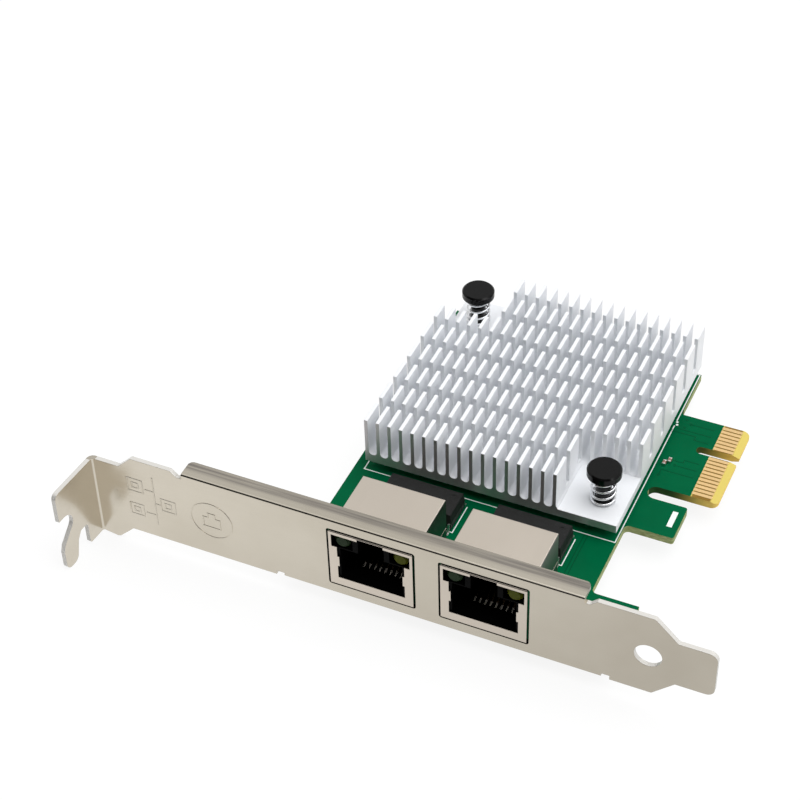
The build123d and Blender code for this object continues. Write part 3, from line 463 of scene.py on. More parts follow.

# %% [markdown]
# A jack's spring wires are gold plated. Deep in the dark socket hardly any light reaches them. Their front
# bends get a painted highlight: a box mask lays a bright colour over them. It takes their
# metal away too, so that they scatter light instead of mirroring the dark socket.

# %% Painted highlight on the bends of the contacts
BEND_L = 1.4 * MM
BEND_EDGE = 0.2 * MM
# A bright colour painted on the bends as a highlight.
BEND_HIGHLIGHT_PAINT = (1.0, 0.92, 0.78)
wires_low, wires_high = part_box("jack_contacts_left")
bends = use_group(
    contact_wire.node_tree,
    box_group,
    Low=(CAD_BOX[0].x, wires_low.y - MARGIN, 0),
    High=(MARGIN, wires_low.y + BEND_L, wires_high.z),
    Edge=BEND_EDGE,
)
cover(contact_wire, bends, BEND_HIGHLIGHT_PAINT, Metallic=0.0)
print("bends end at", round((wires_low.y + BEND_L) / MM, 2), "mm")

# %% [markdown]
# The heatsink was drawn through a die, sawn to length, milled across and blasted. Only its two sawn
# ends kept smoother metal, which mirrors the black packages in front. A facing mask finds faces that
# look along the card's Y, and a box mask takes away those between the ends.

# %% Sawn and blasted aluminium
SAWN_METALLIC = 0.8
SAWN_ROUGH = 0.42
SAWN_GREY = (0.60, 0.57, 0.59)
END_DEPTH = 0.2 * MM
END_EDGE = 0.01 * MM
sink_low, sink_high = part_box("heatsink")
tree = aluminium.node_tree
between_ends = use_group(
    tree,
    box_group,
    Low=sink_low + Vector((-MARGIN, END_DEPTH, -MARGIN)),
    High=sink_high + Vector((MARGIN, -END_DEPTH, MARGIN)),
    Edge=END_EDGE,
)
sawn = combine(tree, "SUBTRACT", use_group(tree, facing_group, Axis=AXIS_Y), between_ends)
cover(aluminium, sawn, SAWN_GREY, Metallic=SAWN_METALLIC, Roughness=SAWN_ROUGH)
print("sawn ends: roughness", SAWN_ROUGH)

# %% [markdown]
# A dark streaked band is painted along the top of the bracket's flange: painted reflection. The band runs
# along the fold, between a clean strip at the front and a clean edge at the back, as darker streaks.

# %% Painted reflection on the flange
PLATE_FRONT = -58.17 * MM
BAND_START, BAND_END = 1.1 * MM, 4.6 * MM
BAND_EDGE = 1.3 * MM
BAND_DEPTH = 3 * MM
# The dark colour of the flange's streaks, a painted reflection.
FLANGE_REFLECTION_PAINT = (0.22, 0.20, 0.185)
bracket_low, bracket_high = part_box("bracket")
tree = nickel_plate.node_tree
band = use_group(
    tree,
    box_group,
    Low=(bracket_low.x, PLATE_FRONT + BAND_START, bracket_high.z - BAND_DEPTH),
    High=(bracket_high.x, PLATE_FRONT + BAND_END, bracket_high.z + BAND_DEPTH),
    Edge=BAND_EDGE,
)
streaks = use_group(tree, grain_group, Scale=600, Stretch=(0.05, 2.0, 0.2), Low=0.1, High=1.0)
cover(nickel_plate, combine(tree, "MULTIPLY", band, streaks), FLANGE_REFLECTION_PAINT)
print("flange top at", round(bracket_high.z / MM, 2), "mm")

# %% [markdown]
# Between each jack and its window in the bracket is a narrow gap, and no light gets down to the window's
# walls or to the shield beside them. A box mask twice as deep as the sheet paints this shade, near black,
# on every face in it that doesn't look forward.

# %% Painted shade in the gaps around the jacks
SHEET_T = 0.86 * MM
# The near black of the gaps is painted shade.
GAP_SHADE_PAINT = (0.012, 0.011, 0.009)
GAP_MARGIN = 0.7 * MM
GAP_EDGE = 0.03 * MM
ports_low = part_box("jack_shield_left")[0]
ports_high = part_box("jack_shield_right")[1]
for plated in (nickel_plate, tin_plate):
    tree = plated.node_tree
    within = use_group(
        tree,
        box_group,
        Low=(ports_low.x - GAP_MARGIN, PLATE_FRONT, ports_low.z - GAP_MARGIN),
        High=(ports_high.x + GAP_MARGIN, PLATE_FRONT + 2 * SHEET_T, ports_high.z + GAP_MARGIN),
        Edge=GAP_EDGE,
    )
    shaded_walls = combine(tree, "SUBTRACT", within, use_group(tree, facing_group, Axis=AXIS_Y))
    cover(plated, shaded_walls, GAP_SHADE_PAINT)
print("gap walls from", round(PLATE_FRONT / MM, 2), "mm back")

# %% [markdown]
# The shields' side walls are painted darker than their roof: painted shade and dark reflection of the
# packages and the board beside them. A facing mask for the card's X finds them.

# %% Painted shade on the side walls of the shields
# Painted shade and dark reflection for the shields' side walls.
SIDE_WALL_SHADE_PAINT = (0.22, 0.215, 0.20)
cover(tin_plate, use_group(tin_plate.node_tree, facing_group, Axis=AXIS_X), SIDE_WALL_SHADE_PAINT)
print("side walls:", SIDE_WALL_SHADE_PAINT)

# %% [markdown]
# The bracket's cut edges were tumbled, so they are pale and matt instead of mirror bright. They are the
# tab's faces that don't look along the card's X, and the plate's that don't look along its Y, apart
# from its bends and the flange. Each region is a box with the axis that its broad faces look along.

# %% Tumbled cut edges
TUMBLED = (0.74, 0.72, 0.68)
TUMBLED_METALLIC = 0.15
TUMBLED_EDGE = 0.1 * MM
FLANGE_LEFT = -87.0 * MM
FLANGE_RIGHT = -9.6 * MM
TAB_BEND = 2.5 * MM
TAB_END = PLATE_FRONT - 0.5 * MM
SKIN = 0.3 * MM
tree = nickel_plate.node_tree
front, behind = PLATE_FRONT - SKIN, PLATE_FRONT + SHEET_T + SKIN
right, top = bracket_high.x + MARGIN, bracket_high.z + MARGIN
cut_regions = [
    (bracket_low - Vector((MARGIN, MARGIN, MARGIN)), (right, TAB_END, top), AXIS_X),
    ((bracket_low.x + TAB_BEND, front, 0), (FLANGE_LEFT, behind, top), AXIS_Y),
    ((FLANGE_RIGHT, front, 0), (right, behind, top), AXIS_Y),
]
for low, high, broad_axis in cut_regions:
    region = use_group(tree, box_group, Low=low, High=high, Edge=TUMBLED_EDGE)
    broad_face = use_group(tree, facing_group, Axis=broad_axis)
    tumbled = combine(tree, "SUBTRACT", region, broad_face)
    cover(nickel_plate, tumbled, TUMBLED, Metallic=TUMBLED_METALLIC)
print("cut edges in", len(cut_regions), "places")

# %% [markdown]
# ## Plastic, ceramic and rubber
#
# Moulded parts have a fine even grain, and their colour hardly changes. Gloss comes from a low
# roughness, and the depth of the grain does the rest. Deep black needs a weak specular reflection.

# %% Moulded finishes
COARSER = 3
ROUGH_LOW, ROUGH_HIGH = 0.85, 1.15


def moulded(name, color, shade, rough, grain_scale, depth_mm, specular=0.5):
    """A moulded finish: two close colours, one grain, a shallow bump."""
    material, tree, shader = start_material(name, Specular_IOR_Level=specular)
    fine = use_group(tree, grain_group, Scale=grain_scale)
    tree.links.new(mix_color(tree, color, shade, fine), shader.inputs["Base Color"])
    low, high = rough * ROUGH_LOW, rough * ROUGH_HIGH
    coarse = use_group(tree, grain_group, Scale=grain_scale / COARSER, Low=low, High=high)
    tree.links.new(coarse, shader.inputs["Roughness"])
    add_bump(tree, shader, fine, depth_mm)
    return material


black_insert = moulded(
    "black_insert", (0.001, 0.001, 0.001), (0.002, 0.002, 0.002), 0.38, 3000, 0.003, specular=0.03
)
black_gloss = moulded(
    "black_gloss", (0.002, 0.002, 0.002), (0.004, 0.004, 0.004), 0.16, 1500, 0.0005, specular=0.2
)
package_black = moulded(
    "package_black", (0.014, 0.0145, 0.014), (0.024, 0.0245, 0.024), 0.45, 3500, 0.005, specular=0.12
)
ferrite_grey = moulded("ferrite_grey", (0.05, 0.05, 0.055), (0.07, 0.07, 0.075), 0.6, 2500, 0.008)
rubber_grey = moulded("rubber_grey", (0.30, 0.31, 0.33), (0.36, 0.37, 0.39), 0.75, 1500, 0.01)
green_lens = moulded(
    "green_lens", (0.014, 0.034, 0.010), (0.02, 0.042, 0.014), 0.3, 900, 0.002, specular=0.1
)
yellow_lens = moulded(
    "yellow_lens", (0.075, 0.085, 0.004), (0.09, 0.10, 0.008), 0.3, 900, 0.002, specular=0.06
)
mask_gap = moulded("mask_gap", (0.0, 0.080, 0.030), (0.0, 0.068, 0.026), 0.32, 1500, 0.002, specular=0.03)
chip_brown = moulded("chip_brown", (0.30, 0.16, 0.12), (0.36, 0.20, 0.15), 0.4, 2500, 0.003)
white_print = moulded("white_print", (0.93, 0.96, 0.94), (0.86, 0.90, 0.87), 0.55, 4000, 0.004)
print("materials, with the packed ones:", len(bpy.data.materials))

# %% [markdown]
# Chip capacitors and resistors are ceramic blocks with tinned ends. The ends are the faces that look
# along the chip, so a facing mask finds them.

# %% Chip finishes
TIN = (0.70, 0.70, 0.69)
PALER = 1.15


def chip_finish(name, body):
    """A ceramic body with tinned ends, which face along the card's Y."""
    material, tree, shader = start_material(name, Roughness=0.4)
    paler = tuple(c * PALER for c in body)
    ceramic = mix_color(tree, body, paler, use_group(tree, grain_group, Scale=2500))
    ends = use_group(tree, facing_group, Axis=AXIS_Y)
    tree.links.new(mix_color(tree, ceramic, TIN, ends), shader.inputs["Base Color"])
    tree.links.new(ends, shader.inputs["Metallic"])
    return material


capacitor_tan = chip_finish("capacitor_tan", (0.36, 0.25, 0.15))
resistor_black = chip_finish("resistor_black", (0.02, 0.02, 0.025))
print("tinned ends:", TIN)

# %% [markdown]
# ## The circuit board
#
# Seen from above, the board is glossy green solder mask over copper. At the card-edge connector the
# mask stops and the bare laminate shows, olive yellow on the bevel and brown between the pads. All of
# the board is one solid, so masks choose the colour by place and by the way that a face points.

# %% Top of the board
MASK_GREEN = (0.0, 0.122, 0.045)
MASK_DARK = (0.0, 0.104, 0.039)
BARE_OLIVE = (0.72, 0.58, 0.15)
# The brown between the pads is partly the laminate's own colour and partly painted shade.
BARE_BROWN_AND_SHADE = (0.27, 0.16, 0.035)
BARE_START, BARE_EDGE = 0.03 * MM, 0.05 * MM
BROWN_END, BROWN_EDGE = 0.1 * MM, 0.4 * MM
BESIDE_PADS = 2 * MM

board_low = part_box("circuit_board")[0]
pads_low, pads_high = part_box("edge_contacts")
board_green, tree, shader = start_material("board_green", Specular_IOR_Level=0.03)
mask_color = mix_color(tree, MASK_GREEN, MASK_DARK, use_group(tree, grain_group, Scale=120))
tip_low = Vector((pads_low.x + BARE_START, pads_low.y - BESIDE_PADS, board_low.z - MARGIN))
tip_high = Vector((MARGIN, pads_high.y + BESIDE_PADS, MARGIN))
bare = use_group(tree, box_group, Low=tip_low, High=tip_high, Edge=BARE_EDGE)
between_high = (pads_high.x + BROWN_END, tip_high.y, tip_high.z)
between = use_group(tree, box_group, Low=tip_low, High=between_high, Edge=BROWN_EDGE)
bare_color = mix_color(tree, BARE_OLIVE, BARE_BROWN_AND_SHADE, between)
top_color = mix_color(tree, mask_color, bare_color, bare)
print("bare laminate from", round(tip_low.x / MM, 2), "mm to the connector's edge")

# %% [markdown]
# The routed edges show the glass fibre. Along the tongue they are dark green, and turn to a pale yellow
# towards the connector.

# %% Edges of the board
LAMINATE_EDGE = (0.50, 0.55, 0.27)
LAMINATE_DARK = (0.22, 0.26, 0.11)
TONGUE_DARK = (0.03, 0.08, 0.025)
TONGUE_PALE = (0.90, 0.64, 0.16)
TONGUE_EDGE = 0.1 * MM
FADE_START = pads_low.x - 4 * MM
FADE_L = 9 * MM
FAR = 40 * MM

fibres = use_group(tree, grain_group, Scale=700, Stretch=(1, 1, 4))
edge_color = mix_color(tree, LAMINATE_EDGE, LAMINATE_DARK, fibres)
fade = use_group(
    tree,
    box_group,
    Low=(FADE_START, tip_low.y - FAR, tip_low.z - FAR),
    High=tip_high + Vector((FAR, FAR, FAR)),
    Edge=FADE_L,
)
tongue_color = mix_color(tree, TONGUE_DARK, TONGUE_PALE, fade)
tongue_low = (FADE_START - FAR, tip_low.y, tip_low.z)
tongue = use_group(tree, box_group, Low=tongue_low, High=tip_high, Edge=TONGUE_EDGE)
side_color = mix_color(tree, edge_color, tongue_color, tongue)
print("edges fade from", round(FADE_START / MM, 2), "mm over", round(FADE_L / MM, 2), "mm")

# %% [markdown]
# Faces that look up or down take the colour and the gloss of the solder mask, and all others those of
# the routed edge. The weave of the glass cloth under the mask shows as a very shallow relief.

# %% Board finish
EDGE_ROUGH, TOP_ROUGH = 0.6, 0.24
WEAVE_MM = 0.004
flat = use_group(tree, facing_group, Axis=AXIS_Z)
tree.links.new(mix_color(tree, side_color, top_color, flat), shader.inputs["Base Color"])
gloss = add_node(tree, "ShaderNodeMapRange", {"To Min": EDGE_ROUGH, "To Max": TOP_ROUGH})
tree.links.new(flat, gloss.inputs["Value"])
tree.links.new(gloss.outputs["Result"], shader.inputs["Roughness"])
add_bump(tree, shader, use_group(tree, grain_group, Scale=1300), WEAVE_MM)
print("board's roughness:", TOP_ROUGH, "on top,", EDGE_ROUGH, "at its edges")

# %% [markdown]
# ## Give the solids their finish
#
# A solid keeps its mesh, and only its material slot is filled. The names of the nodes say what each
# one is, so a plain table from finish to nodes is enough.

# %% Assign finishes
FINISHES = {
    board_green: ["circuit_board"],
    gold_plate: ["edge_contacts"],
    contact_wire: ["jack_contacts_left", "jack_contacts_right"],
    nickel_plate: ["bracket"],
    zinc_plate: ["bracket_screws"],
    tin_plate: ["jack_shield_left", "jack_shield_right"],
    black_insert: ["jack_housing_left", "jack_housing_right"],
    green_lens: ["lamp_left_green", "lamp_right_green"],
    yellow_lens: ["lamp_left_yellow", "lamp_right_yellow"],
    package_black: ["magnetics_left", "magnetics_right", "controller_chip", "flash_chip", "regulator"],
    tinned: ["magnetics_leads", "flash_leads", "regulator_leads"],
    aluminium: ["heatsink"],
    black_gloss: ["push_pins"],
    bright_wire: ["push_pin_springs"],
    rubber_grey: ["thermal_pad"],
    crystal_lid: ["crystal_can"],
    ferrite_grey: ["inductor"],
    capacitor_tan: ["capacitors"],
    resistor_black: ["resistors"],
}
for finish, names in FINISHES.items():
    for name in names:
        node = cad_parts[name]
        node.data.materials.clear()
        node.data.materials.append(finish)
finished = {name for names in FINISHES.values() for name in names}
print("without a finish:", sorted(set(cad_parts) - finished))

# %% [markdown]
# ## Tools for the small pieces
#
# The small pieces are modelled with the operators that one would use by hand. An operator works on all
# that is selected, so each step first picks its faces or edges by where they lie. A piece's transform
# is applied as soon as it is added, so that its mesh holds its place on the card.

# %% Modelling helpers
FLAT = (0, 0, 0)
UPRIGHT = (math.pi / 2, 0, 0)
UP = Vector((0, 0, 1))
FORWARD = Vector((0, -1, 0))
ROUND_SIDES = 16
DOUBLE = 0.001 * MM
FOUND = 0.1
SMOOTH_ANGLE = math.radians(40)


def on_board(x, y):
    """A point on the board's top, from its place in millimetres."""
    return Vector((x, y, 0)) * MM


def settle():
    """Applies the place of a primitive that was just added, and returns it."""
    bpy.ops.object.transform_apply(location=True, rotation=True, scale=True)
    return bpy.context.object


def add_disc(radius, place, turn=FLAT, sides=ROUND_SIDES):
    """Adds a flat disc."""
    bpy.ops.object.select_all(action="DESELECT")
    bpy.ops.mesh.primitive_circle_add(
        vertices=sides, radius=radius, fill_type="NGON", location=place, rotation=turn
    )


def pick(piece, kind, test):
    """Selects the faces or edges whose middle passes a test, in edit mode."""
    bpy.ops.mesh.select_mode(type=kind)
    bpy.ops.mesh.select_all(action="DESELECT")
    bpy.ops.object.mode_set(mode="OBJECT")
    corners = piece.data.vertices
    for part in piece.data.polygons if kind == "FACE" else piece.data.edges:
        middle = sum((corners[i].co for i in part.vertices), Vector()) / len(part.vertices)
        part.select = test(middle)
    bpy.ops.object.mode_set(mode="EDIT")


def push(offset):
    """Extrudes what is selected by an offset."""
    bpy.ops.mesh.extrude_region_move(TRANSFORM_OT_translate={"value": offset})


def close_up():
    """Merges doubles, turns all faces outwards and leaves edit mode."""
    bpy.ops.mesh.select_all(action="SELECT")
    bpy.ops.mesh.remove_doubles(threshold=DOUBLE)
    bpy.ops.mesh.normals_make_consistent(inside=False)
    bpy.ops.object.mode_set(mode="OBJECT")


# %% [markdown]
# Ink, copper tracks and raised marks are all lines of one width. A strip is drawn out from a small
# square, edge by edge. FOUND is how near an edge has to be to count as the front one, as a share of the
# width. A rim is what is left of a flat face when its middle is inset and deleted.

# %% Strips and rims
def draw_strip(corners, width, rise, turn=FLAT):
    """A line in relief: a square at the first corner, drawn from corner to corner, then raised."""
    bpy.ops.object.select_all(action="DESELECT")
    bpy.ops.mesh.primitive_plane_add(size=width, location=corners[0], rotation=turn)
    piece = settle()
    bpy.ops.object.mode_set(mode="EDIT")
    for start, end in zip(corners, corners[1:]):
        along = (end - start).normalized() * width
        front = start + along / 2
        pick(piece, "EDGE", lambda middle: (middle - front).length < width * FOUND)
        push(end - start - along)
        push(along)
    bpy.ops.mesh.select_all(action="SELECT")
    push(rise)
    close_up()
    return piece


def raise_rim(width, rise):
    """Keeps a rim of the flat face that was just added, and raises it."""
    piece = settle()
    bpy.ops.object.mode_set(mode="EDIT")
    bpy.ops.mesh.select_mode(type="FACE")
    bpy.ops.mesh.select_all(action="SELECT")
    bpy.ops.mesh.inset(thickness=width)
    bpy.ops.mesh.delete(type="FACE")
    bpy.ops.mesh.select_all(action="SELECT")
    push(rise)
    close_up()
    return piece


# %% [markdown]
# Equal parts are copied instead of being modelled again. A piece is joined only when its parts are
# done, and then it gets its name, its finish and its body.

# %% Copy, join and finish pieces
def copy_to(piece, offset):
    """A copy of a piece, with its own mesh, moved by an offset."""
    bpy.ops.object.select_all(action="DESELECT")
    piece.select_set(True)
    bpy.context.view_layer.objects.active = piece
    bpy.ops.object.duplicate()
    bpy.ops.transform.translate(value=offset)
    return settle()


def join_parts(parts):
    """Joins parts into one object."""
    bpy.ops.object.select_all(action="DESELECT")
    for part in parts:
        part.select_set(True)
    bpy.context.view_layer.objects.active = parts[0]
    if len(parts) > 1:
        bpy.ops.object.join()
    return bpy.context.object


def finish_piece(name, parts, finish, soften=0.0):
    """Joins the parts of a piece, eases its edges, and gives it its name, finish and body."""
    piece = join_parts(parts)
    piece.name = piece.data.name = name
    if soften:
        bpy.ops.object.modifier_add(type="BEVEL")
        piece.modifiers[-1].width = soften
        piece.modifiers[-1].segments = 2
        bpy.ops.object.modifier_apply(modifier=piece.modifiers[-1].name)
    bpy.ops.object.shade_smooth_by_angle(angle=SMOOTH_ANGLE)
    if finish:
        piece.data.materials.clear()
        piece.data.materials.append(finish)
    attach(piece, "root")
    print(name, "has", len(piece.data.polygons), "faces")
    return piece


# %% [markdown]
# ## The springs
#
# A push-pin's spring is wound from round wire, with its first and last turn closed, so that it sits flat
# on the heatsink and under the head. The Screw modifier winds a circle into a helix of one pitch,
# so the spring is wound in three runs of whole turns that meet end to end: a closed turn, the open
# turns and a closed turn. The solid of the springs says where they stand and how tall they are.

# %% Wind a run of wire
HEAD_R = 3.25 * MM
WIRE_R = 0.24 * MM
WIRE_SIDES = 12
TURN_STEPS = 28

pins_low, pins_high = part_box("push_pins")
springs_low, springs_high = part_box("push_pin_springs")
front_pin = Vector((pins_high.x - HEAD_R, pins_low.y + HEAD_R, 0))
back_pin = Vector((pins_low.x + HEAD_R, pins_high.y - HEAD_R, 0))
coil_r = springs_high.x - front_pin.x - WIRE_R


def wind(height, rise, turns):
    """One run of wire round the front pin: a circle, wound by the Screw modifier."""
    bpy.ops.object.select_all(action="DESELECT")
    bpy.ops.mesh.primitive_circle_add(
        vertices=WIRE_SIDES, radius=WIRE_R, location=(coil_r, 0, height), rotation=UPRIGHT
    )
    run = settle()
    bpy.ops.object.modifier_add(type="SCREW")
    screw = run.modifiers[-1]
    screw.axis = "Z"
    screw.angle = 2 * math.pi
    screw.iterations = turns
    screw.screw_offset = rise / turns
    screw.steps = screw.render_steps = TURN_STEPS
    bpy.ops.object.modifier_apply(modifier=screw.name)
    return run


print("coil radius", round(coil_r / MM, 2), "mm")

# %% [markdown]
# The points where two runs meet are merged and the two open ends of the wire are filled. The spring is
# then copied to the other pin, and the pair takes the place of the plain solid.

# %% Join the runs into springs
OPEN_TURNS = 3
WELD = 0.002 * MM
tall = springs_high.z - springs_low.z
closed_rise = 2 * WIRE_R
open_rise = tall - 2 * WIRE_R - 2 * closed_rise
wire_low = springs_low.z + WIRE_R
runs = [
    wind(wire_low, closed_rise, 1),
    wind(wire_low + closed_rise, open_rise, OPEN_TURNS),
    wind(wire_low + closed_rise + open_rise, closed_rise, 1),
]
spring = join_parts(runs)
bpy.ops.object.mode_set(mode="EDIT")
bpy.ops.mesh.select_all(action="SELECT")
bpy.ops.mesh.remove_doubles(threshold=WELD)
bpy.ops.mesh.select_all(action="DESELECT")
bpy.ops.mesh.select_mode(type="EDGE")
bpy.ops.mesh.select_non_manifold()
bpy.ops.mesh.edge_face_add()
bpy.ops.mesh.select_all(action="SELECT")
bpy.ops.mesh.normals_make_consistent(inside=False)
bpy.ops.transform.translate(value=front_pin)
bpy.ops.object.mode_set(mode="OBJECT")
springs = finish_piece(
    "springs", [spring, copy_to(spring, back_pin - front_pin)], bright_wire
)
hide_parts("push_pin_springs")
print("spring", round(tall / MM, 2), "mm tall")

# %% [markdown]
# ## White print on the board
#
# The legend is white ink about 0.2 mm wide. On the real board it is screened on, so it has a slight
# thickness. Each line is a strip drawn from corner to corner. The heatsink's outline leaves a gap at
# its right.

# %% Print the outlines
PRINT_W = 0.22 * MM
PRINT_RISE = UP * 0.02 * MM
LEFT_OUT, RIGHT_IN = 0.37 * MM, 0.04 * MM
FRONT_OUT, REAR_IN = 0.1 * MM, 0.2 * MM
GAP_LOW, GAP_HIGH = 4.6 * MM, 6.3 * MM
left, right = sink_low.x - LEFT_OUT, sink_high.x - RIGHT_IN
front, rear = sink_low.y - FRONT_OUT, sink_high.y - REAR_IN
outline = [
    Vector((right, GAP_HIGH, 0)),
    Vector((right, rear, 0)),
    Vector((left, rear, 0)),
    Vector((left, front, 0)),
    Vector((right, front, 0)),
    Vector((right, GAP_LOW, 0)),
]
prints = [draw_strip(outline, PRINT_W, PRINT_RISE)]
print("outline", round((right - left) / MM, 2), "by", round((rear - front) / MM, 2), "mm")

# %% [markdown]
# Each transformer package has a printed bracket on both of its sides, and a plain bar marks the board's
# guide tab. They are strips too.

# %% Print the brackets and the bar
LEG = 1.1 * MM
PACKAGE_GAP = 0.25 * MM
NEAR_OUT, FAR_OUT = 0.05 * MM, 0.4 * MM
BAR_W = 1.04 * MM
BAR = [(-6.42, -21.18), (-6.42, -18.07)]
for name in ("magnetics_left", "magnetics_right"):
    low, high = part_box(name)
    near, far = low.y - NEAR_OUT, high.y + FAR_OUT
    for side, inward in ((low.x - PACKAGE_GAP, LEG), (high.x + PACKAGE_GAP, -LEG)):
        bracket = [
            Vector((side + inward, near, 0)),
            Vector((side, near, 0)),
            Vector((side, far, 0)),
        ]
        prints.append(draw_strip(bracket, PRINT_W, PRINT_RISE))
prints.append(draw_strip([on_board(*end) for end in BAR], BAR_W, PRINT_RISE))
print("lines printed:", len(prints))

# %% [markdown]
# A pair of dots beside the gap shows which corner is the first. A dot is a disc, raised like the lines,
# and with it the print is complete and becomes one piece.

# %% Print the dots
DOT_R = 0.26 * MM
DOTS = [(-13.95, 5.85), (-13.75, 5.1)]
for place in DOTS:
    add_disc(DOT_R, on_board(*place))
    dot = settle()
    bpy.ops.object.mode_set(mode="EDIT")
    bpy.ops.mesh.select_all(action="SELECT")
    push(PRINT_RISE)
    close_up()
    prints.append(dot)
finish_piece("board_print", prints, white_print)

# %% [markdown]
# ## Tracks and holes under the solder mask
#
# Solder mask follows the copper, so a track shows as a faint ridge, and the gap beside it looks darker.
# A few short tracks stand for the many of the real board.

# %% Tracks
TRACK_W = 0.2 * MM
TRACK_RISE = UP * 0.012 * MM
ROUTES = [
    [(-19.3, -39.8), (-19.3, -29.6)],
    [(-19.95, -39.8), (-19.95, -29.6)],
    [(-6.6, 6.2), (-11.2, 6.2)],
    [(-6.6, 4.2), (-13.4, 4.2)],
    [(-6.6, 2.2), (-9.4, 2.2), (-9.4, 3.2), (-13.8, 3.2)],
    [(-6.4, -3.8), (-9.3, -3.8), (-9.3, -4.6), (-11.2, -4.6)],
    [(-6.4, -5.8), (-10.4, -5.8)],
    [(-6.4, -7.8), (-12.6, -7.8), (-12.6, -9.2)],
]
tracks = [draw_strip([on_board(*corner) for corner in route], TRACK_W, TRACK_RISE) for route in ROUTES]
finish_piece("board_tracks", tracks, mask_gap)

# %% [markdown]
# A via is a small ring of copper round a plated hole, with the mask over it. One ring is made from a
# disc and copied to the other places.

# %% Vias
VIA_R = 0.3 * MM
VIA_RIM = 0.16 * MM
VIA_RISE = UP * 0.02 * MM
VIAS = [
    (-12.4, 7.1), (-12.2, 4.9), (-15.05, -0.7), (-14.1, 3.2), (-11.3, 6.2), (-12.6, -9.4), (-10.6, -5.8)
]
first_via = on_board(*VIAS[0])
add_disc(VIA_R, first_via)
via = raise_rim(VIA_RIM, VIA_RISE)
vias = [via] + [copy_to(via, on_board(*place) - first_via) for place in VIAS[1:]]
finish_piece("board_vias", vias, mask_gap)

# %% [markdown]
# ## Two chip parts beside the connector
#
# A chip capacitor is a ceramic block about 1 mm long whose ends are dipped in tin, so each end is a
# cap slightly larger than the block. The block is a box, each end face is scaled up a little and
# drawn out into its cap, and the edges are rounded at the end.

# %% Chip parts
CHIP_W = 0.6 * MM
CHIP_L = 0.7 * MM
CAP_L = 0.2 * MM
CAP_GROW = 1.1
CHIP_SOFT = 0.03 * MM
SLACK = 0.01 * MM
CHIP_PLACES = [(-11.8, -5.2), (-12.56, -6.2)]
first_chip, other_chip = (on_board(*place) for place in CHIP_PLACES)
middle = first_chip + UP * (CHIP_W * CAP_GROW / 2)
bpy.ops.object.select_all(action="DESELECT")
bpy.ops.mesh.primitive_cube_add(size=1, location=middle, scale=(CHIP_W, CHIP_L, CHIP_W))
chip = settle()
bpy.ops.object.mode_set(mode="EDIT")
for side in (-1, 1):
    end_y = middle.y + side * CHIP_L / 2
    pick(chip, "FACE", lambda center: abs(center.y - end_y) < SLACK)
    push((0, 0, 0))
    bpy.ops.transform.resize(value=(CAP_GROW, 1, CAP_GROW))
    push((0, side * CAP_L, 0))
bpy.ops.mesh.select_all(action="SELECT")
bpy.ops.mesh.normals_make_consistent(inside=False)
bpy.ops.object.mode_set(mode="OBJECT")
chip.data.materials.append(chip_brown)
chip.data.materials.append(tinned)
for face in chip.data.polygons:
    face.material_index = int(abs(face.center.y - middle.y) > CHIP_L / 2 - SLACK)
chips = [chip, copy_to(chip, other_chip - first_chip)]
finish_piece("chip_parts", chips, None, soften=CHIP_SOFT)

# %% [markdown]
# ## Solder on the underside
#
# Every lead that goes through the board ends below it in a small cone of solder with hollow sides. The
# tips of the leads are found in the solids themselves, as the groups of points below the board.

# %% Find the leads
UNDER = board_low.z
LEAD_NODES = ["jack_contacts_left", "jack_contacts_right", "jack_shield_left", "jack_shield_right"]
LEAD_NODES += [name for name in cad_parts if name.startswith("lamp_")]
NEAR = 0.7 * MM
LEAD_OUT = 0.2 * MM
tips = []
for name in sorted(LEAD_NODES):
    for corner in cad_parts[name].data.vertices:
        if corner.co.z < UNDER - LEAD_OUT:
            for tip in tips:
                if (tip[0].xy - corner.co.xy).length < NEAR:
                    tip.append(corner.co.copy())
                    break
            else:
                tips.append([corner.co.copy()])
places = [(sum(tip, Vector()) / len(tip)).xy for tip in tips]
print("leads through the board:", len(places))

# %% [markdown]
# One cone is drawn out from a disc in three steps, each narrower than the one before, and copied to each
# lead. The steps are a depth in millimetres and the share of the width that is left.

# %% Solder cones
SOLDER_R = 0.72 * MM
SOLDER_STEPS = [(0.10, 0.80), (0.22, 0.72), (0.30, 0.80)]
add_disc(SOLDER_R, (*places[0], UNDER))
cone = settle()
bpy.ops.object.mode_set(mode="EDIT")
bpy.ops.mesh.select_all(action="SELECT")
for depth, narrow in SOLDER_STEPS:
    push((0, 0, -depth * MM))
    bpy.ops.transform.resize(value=(narrow, narrow, 1))
close_up()
cones = [cone] + [copy_to(cone, Vector((*(place - places[0]), 0))) for place in places[1:]]
finish_piece("solder_joints", cones, solder)

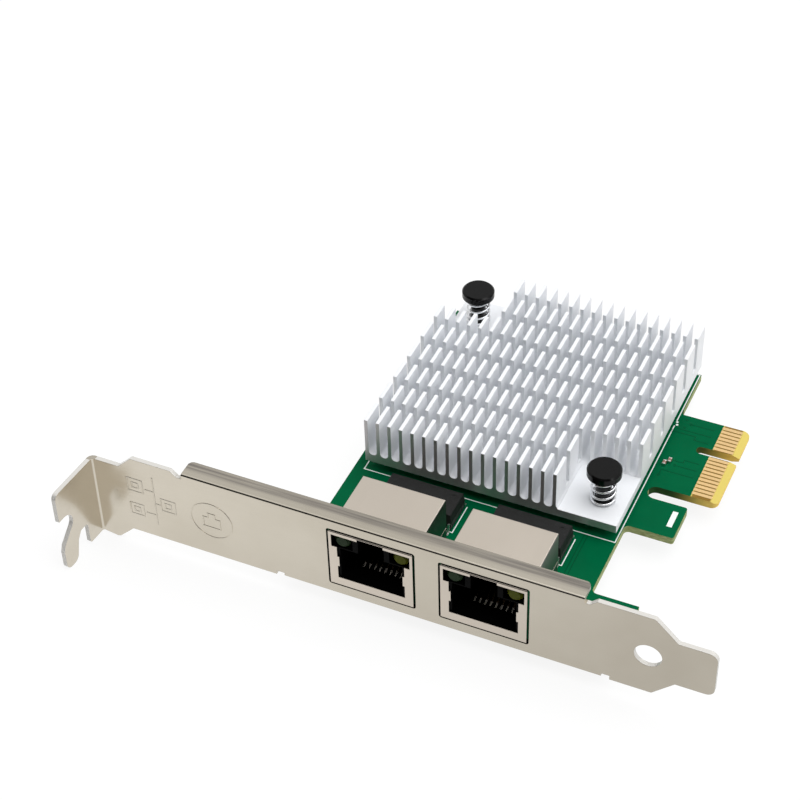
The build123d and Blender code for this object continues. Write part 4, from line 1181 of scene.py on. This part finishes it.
# %% [markdown]
# ## Marks pressed into the bracket
#
# The bracket carries marks in low relief beside the jacks. One is a plain diagram of three stations on a
# line, the other a ring, which here holds only the outline of a socket. Their places are read from the
# photograph, as distances from the fold of the tab and heights above the board.

# %% Places of the marks
PLATE = Vector((-106.3 * MM, PLATE_FRONT, 0))
MARK_W = 0.24 * MM
MARK_RISE = FORWARD * 0.06 * MM
MARK_SOFT = 0.06 * MM
INNER = 0.45
STATIONS = [(9.4, 9.45, 3.4), (9.3, 3.3, 3.0), (16.05, 6.45, 3.2)]
LINES = [
    [(13.3, 0.95), (13.3, 12.7)],
    [(11.6, 9.1), (13.0, 9.1)],
    [(11.3, 3.2), (13.0, 3.2)],
    [(13.6, 6.2), (14.3, 6.2)],
]
RING_AT, RING_R, RING_SIDES = (25.0, 6.3), 4.3 * MM, 64
SOCKET = [(23.3, 4.6), (26.7, 4.6), (26.7, 6.9), (25.7, 6.9), (25.7, 8.0), (24.3, 8.0), (24.3, 6.9)]
SOCKET += [(23.3, 6.9), (23.3, 5.0)]


def on_plate(x, z):
    """A point on the plate's front, from its distance to the fold of the tab and its height."""
    return PLATE + Vector((x, 0, z)) * MM


print("stations:", len(STATIONS), "lines:", len(LINES))

# %% [markdown]
# Squares and the ring are flat faces of which only a rim is kept and raised. Lines are strips. A bevel
# eases all of their edges, because a press never leaves them sharp.

# %% Raise the marks
marks = []
for x, z, side in STATIONS:
    for size in (side, side * INNER):
        bpy.ops.object.select_all(action="DESELECT")
        bpy.ops.mesh.primitive_plane_add(size=size * MM, location=on_plate(x, z), rotation=UPRIGHT)
        marks.append(raise_rim(MARK_W, MARK_RISE))
add_disc(RING_R, on_plate(*RING_AT), UPRIGHT, RING_SIDES)
marks.append(raise_rim(MARK_W, MARK_RISE))
for line in [*LINES, SOCKET]:
    marks.append(draw_strip([on_plate(*corner) for corner in line], MARK_W, MARK_RISE, UPRIGHT))
finish_piece("bracket_marks", marks, nickel_plate, soften=MARK_SOFT)
